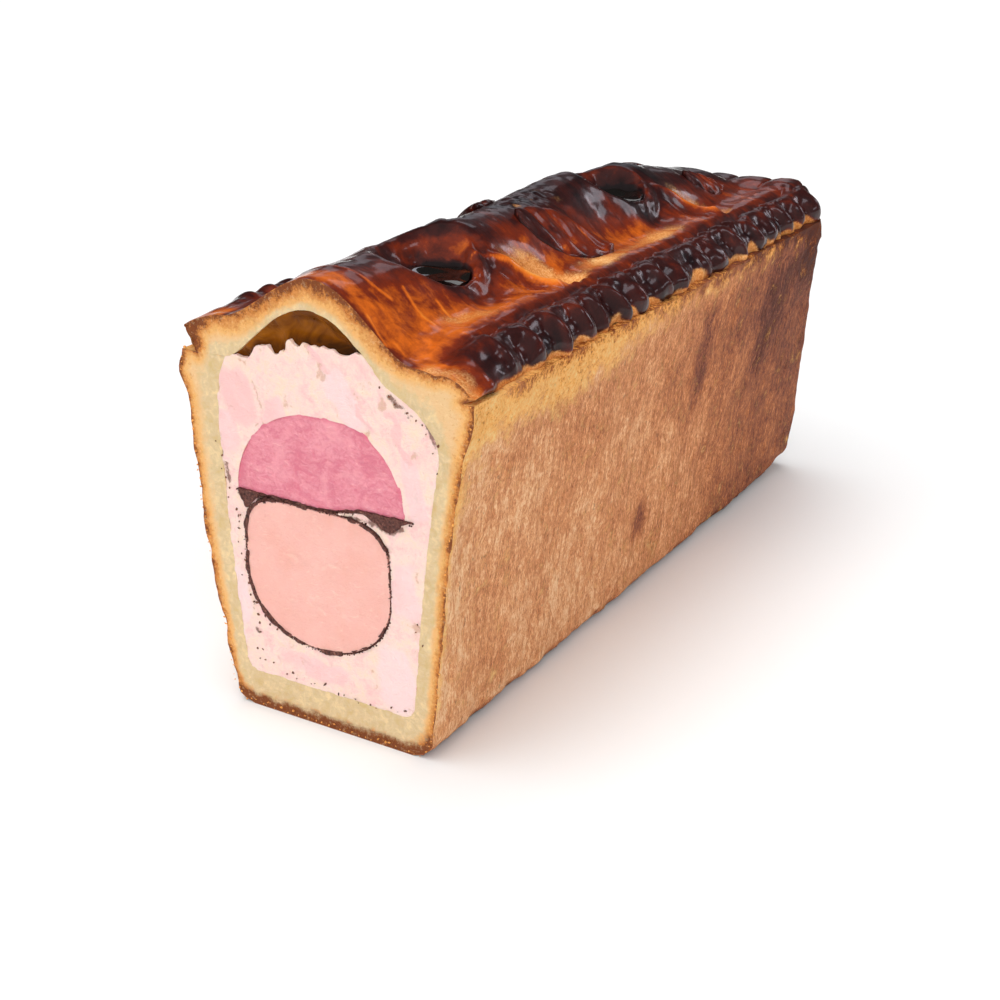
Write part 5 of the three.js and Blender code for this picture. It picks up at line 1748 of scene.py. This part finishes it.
def build_stage(context):
    scene, stage = context.scene, context.scene.loaf_stage
    mesh = bpy.data.meshes.new("floor")
    corners = [(-1, -1, 0), (1, -1, 0), (1, 1, 0), (-1, 1, 0)]
    mesh.from_pydata((FLOOR_REACH * np.array(corners)).tolist(), [], [(0, 1, 2, 3)])
    mesh.materials.append(floor_material(scene.loaf_colours))
    floor = bpy.data.objects.new("floor", mesh)
    scene.collection.objects.link(floor)

    camera = bpy.data.objects.new("camera", bpy.data.cameras.new("camera"))
    scene.collection.objects.link(camera)
    camera.location = ORIGIN * MM + np.array([stage.side, -stage.back, stage.height])
    camera.rotation_euler = (math.pi / 2 - stage.pitch, 0, stage.yaw)
    camera.data.lens, camera.data.sensor_width = stage.lens, SENSOR_WIDTH
    scene.camera = camera

    broad_light("key_light", (-0.45, -0.6, 1.2), stage.key, 50)
    broad_light("fill_light", (0.9, -0.35, 0.6), stage.fill, 70)
    broad_light("top_light", (-0.15, 0.2, 1), stage.top, 45)
    broad_light("front_light", (0.45, -1, 0.45), stage.front, 60)
    panel_light("rear_panel", (-0.7, 1.15, 0.5), stage.rear, 0.8, 0.3)
    panel_light("right_panel", (1.15, 0.25, 0.45), stage.right, 0.35, 0.12)
    panel_light("corner_panel", (0.54, 0.87, 0.66), stage.corner, 0.3, 0.26)
    panel_light("slanted_strip", (0.55, 0.94, 0.38), stage.strip, 0.5, 0.08, 56)
    panel_light("overhead_panel", (0.55, 0.05, 1.05), stage.overhead, 0.3, 0.2)
    panel_light("high_panel", (-0.3, 0.85, 0.95), stage.high, 0.4, 0.25)
    scene.world = bpy.data.worlds.new("studio")
    scene.world.use_nodes = True
    tree = scene.world.node_tree
    blank = Shade(tree)
    coords = blank.node("ShaderNodeTexCoord", None, None, 0)
    way = blank.node("ShaderNodeSeparateXYZ", None, {0: coords}, 1)
    strength = (1 - way.between(-0.35, 0.25)) * (stage.sky - stage.gloom) + stage.gloom
    tree.links.new(strength.socket, tree.nodes["Background"].inputs["Strength"])
    tree.nodes["Background"].inputs["Color"].default_value = (1, 1, 1, 1)
    scene.view_settings.view_transform = "Standard"


# Operators


def build_leaves():
    for number, leaf in enumerate(LEAVES, 1):
        for side, word in ((1, "right"), (-1, "left")):
            build_leaf(*leaf, side, f"pastry_leaf_{word}_{number}")


class LOAF_OT_case(bpy.types.Operator):
    """Make the baked case with its cut edge"""

    bl_idname = "loaf.case"
    bl_label = "Pastry case"

    def execute(self, context):
        build_case(context)
        return {"FINISHED"}


class LOAF_OT_lid(bpy.types.Operator):
    """Make the glazed lid with its vents, folds and crimped edge"""

    bl_idname = "loaf.lid"
    bl_label = "Lid"

    def execute(self, context):
        build_lid(context)
        return {"FINISHED"}


class LOAF_OT_leaves(bpy.types.Operator):
    """Make the pastry leaves on the lid"""

    bl_idname = "loaf.leaves"
    bl_label = "Leaves"

    def execute(self, context):
        build_leaves()
        return {"FINISHED"}


class LOAF_OT_forcemeat(bpy.types.Operator):
    """Make the forcemeat with its chunks"""

    bl_idname = "loaf.forcemeat"
    bl_label = "Forcemeat"

    def execute(self, context):
        build_forcemeat(context)
        return {"FINISHED"}


class LOAF_OT_ham(bpy.types.Operator):
    """Make the half-round of ham"""

    bl_idname = "loaf.ham"
    bl_label = "Ham"

    def execute(self, context):
        build_ham(context)
        return {"FINISHED"}


class LOAF_OT_liver(bpy.types.Operator):
    """Make the block of liver"""

    bl_idname = "loaf.liver"
    bl_label = "Liver"

    def execute(self, context):
        build_liver(context)
        return {"FINISHED"}


class LOAF_OT_wrap(bpy.types.Operator):
    """Make the dark wrap around the liver"""

    bl_idname = "loaf.wrap"
    bl_label = "Wrap"

    def execute(self, context):
        build_wrap(context)
        return {"FINISHED"}


class LOAF_OT_jelly(bpy.types.Operator):
    """Make the jelly under the lid and in its vents"""

    bl_idname = "loaf.jelly"
    bl_label = "Jelly"

    def execute(self, context):
        build_jelly(context)
        return {"FINISHED"}


class LOAF_OT_crumbs(bpy.types.Operator):
    """Scatter crumbs and specks on the cut"""

    bl_idname = "loaf.crumbs"
    bl_label = "Crumbs"

    def execute(self, context):
        build_crumbs(context)
        return {"FINISHED"}


class LOAF_OT_stage(bpy.types.Operator):
    """Make the floor, the lights and the camera"""

    bl_idname = "loaf.stage"
    bl_label = "Stage"

    def execute(self, context):
        build_stage(context)
        return {"FINISHED"}


OPERATORS = (
    LOAF_OT_case,
    LOAF_OT_lid,
    LOAF_OT_leaves,
    LOAF_OT_forcemeat,
    LOAF_OT_ham,
    LOAF_OT_liver,
    LOAF_OT_wrap,
    LOAF_OT_jelly,
    LOAF_OT_crumbs,
    LOAF_OT_stage,
)


class LOAF_PT_panel(bpy.types.Panel):
    """Lists what makes the loaf"""

    bl_label = "Pate en croute"
    bl_idname = "LOAF_PT_panel"
    bl_space_type = "VIEW_3D"
    bl_region_type = "UI"
    bl_category = "Loaf"

    def draw(self, context):
        for group in (context.scene.loaf_relief, context.scene.loaf_colours, context.scene.loaf_stage):
            for name in group.bl_rna.properties.keys():
                if name not in {"rna_type", "name"}:
                    self.layout.prop(group, name)
        for operator in OPERATORS:
            self.layout.operator(operator.bl_idname)


CLASSES = (LoafRelief, LoafColours, LoafStage, *OPERATORS, LOAF_PT_panel)


def register():
    for item in CLASSES:
        bpy.utils.register_class(item)
    bpy.types.Scene.loaf_relief = PointerProperty(type=LoafRelief)
    bpy.types.Scene.loaf_colours = PointerProperty(type=LoafColours)
    bpy.types.Scene.loaf_stage = PointerProperty(type=LoafStage)


def unregister():
    del bpy.types.Scene.loaf_stage
    del bpy.types.Scene.loaf_colours
    del bpy.types.Scene.loaf_relief
    for item in reversed(CLASSES):
        bpy.utils.unregister_class(item)


def main():
    register()
    for operator in OPERATORS:
        group, name = operator.bl_idname.split(".")
        getattr(getattr(bpy.ops, group), name)()


if __name__ == "__main__":
    main()
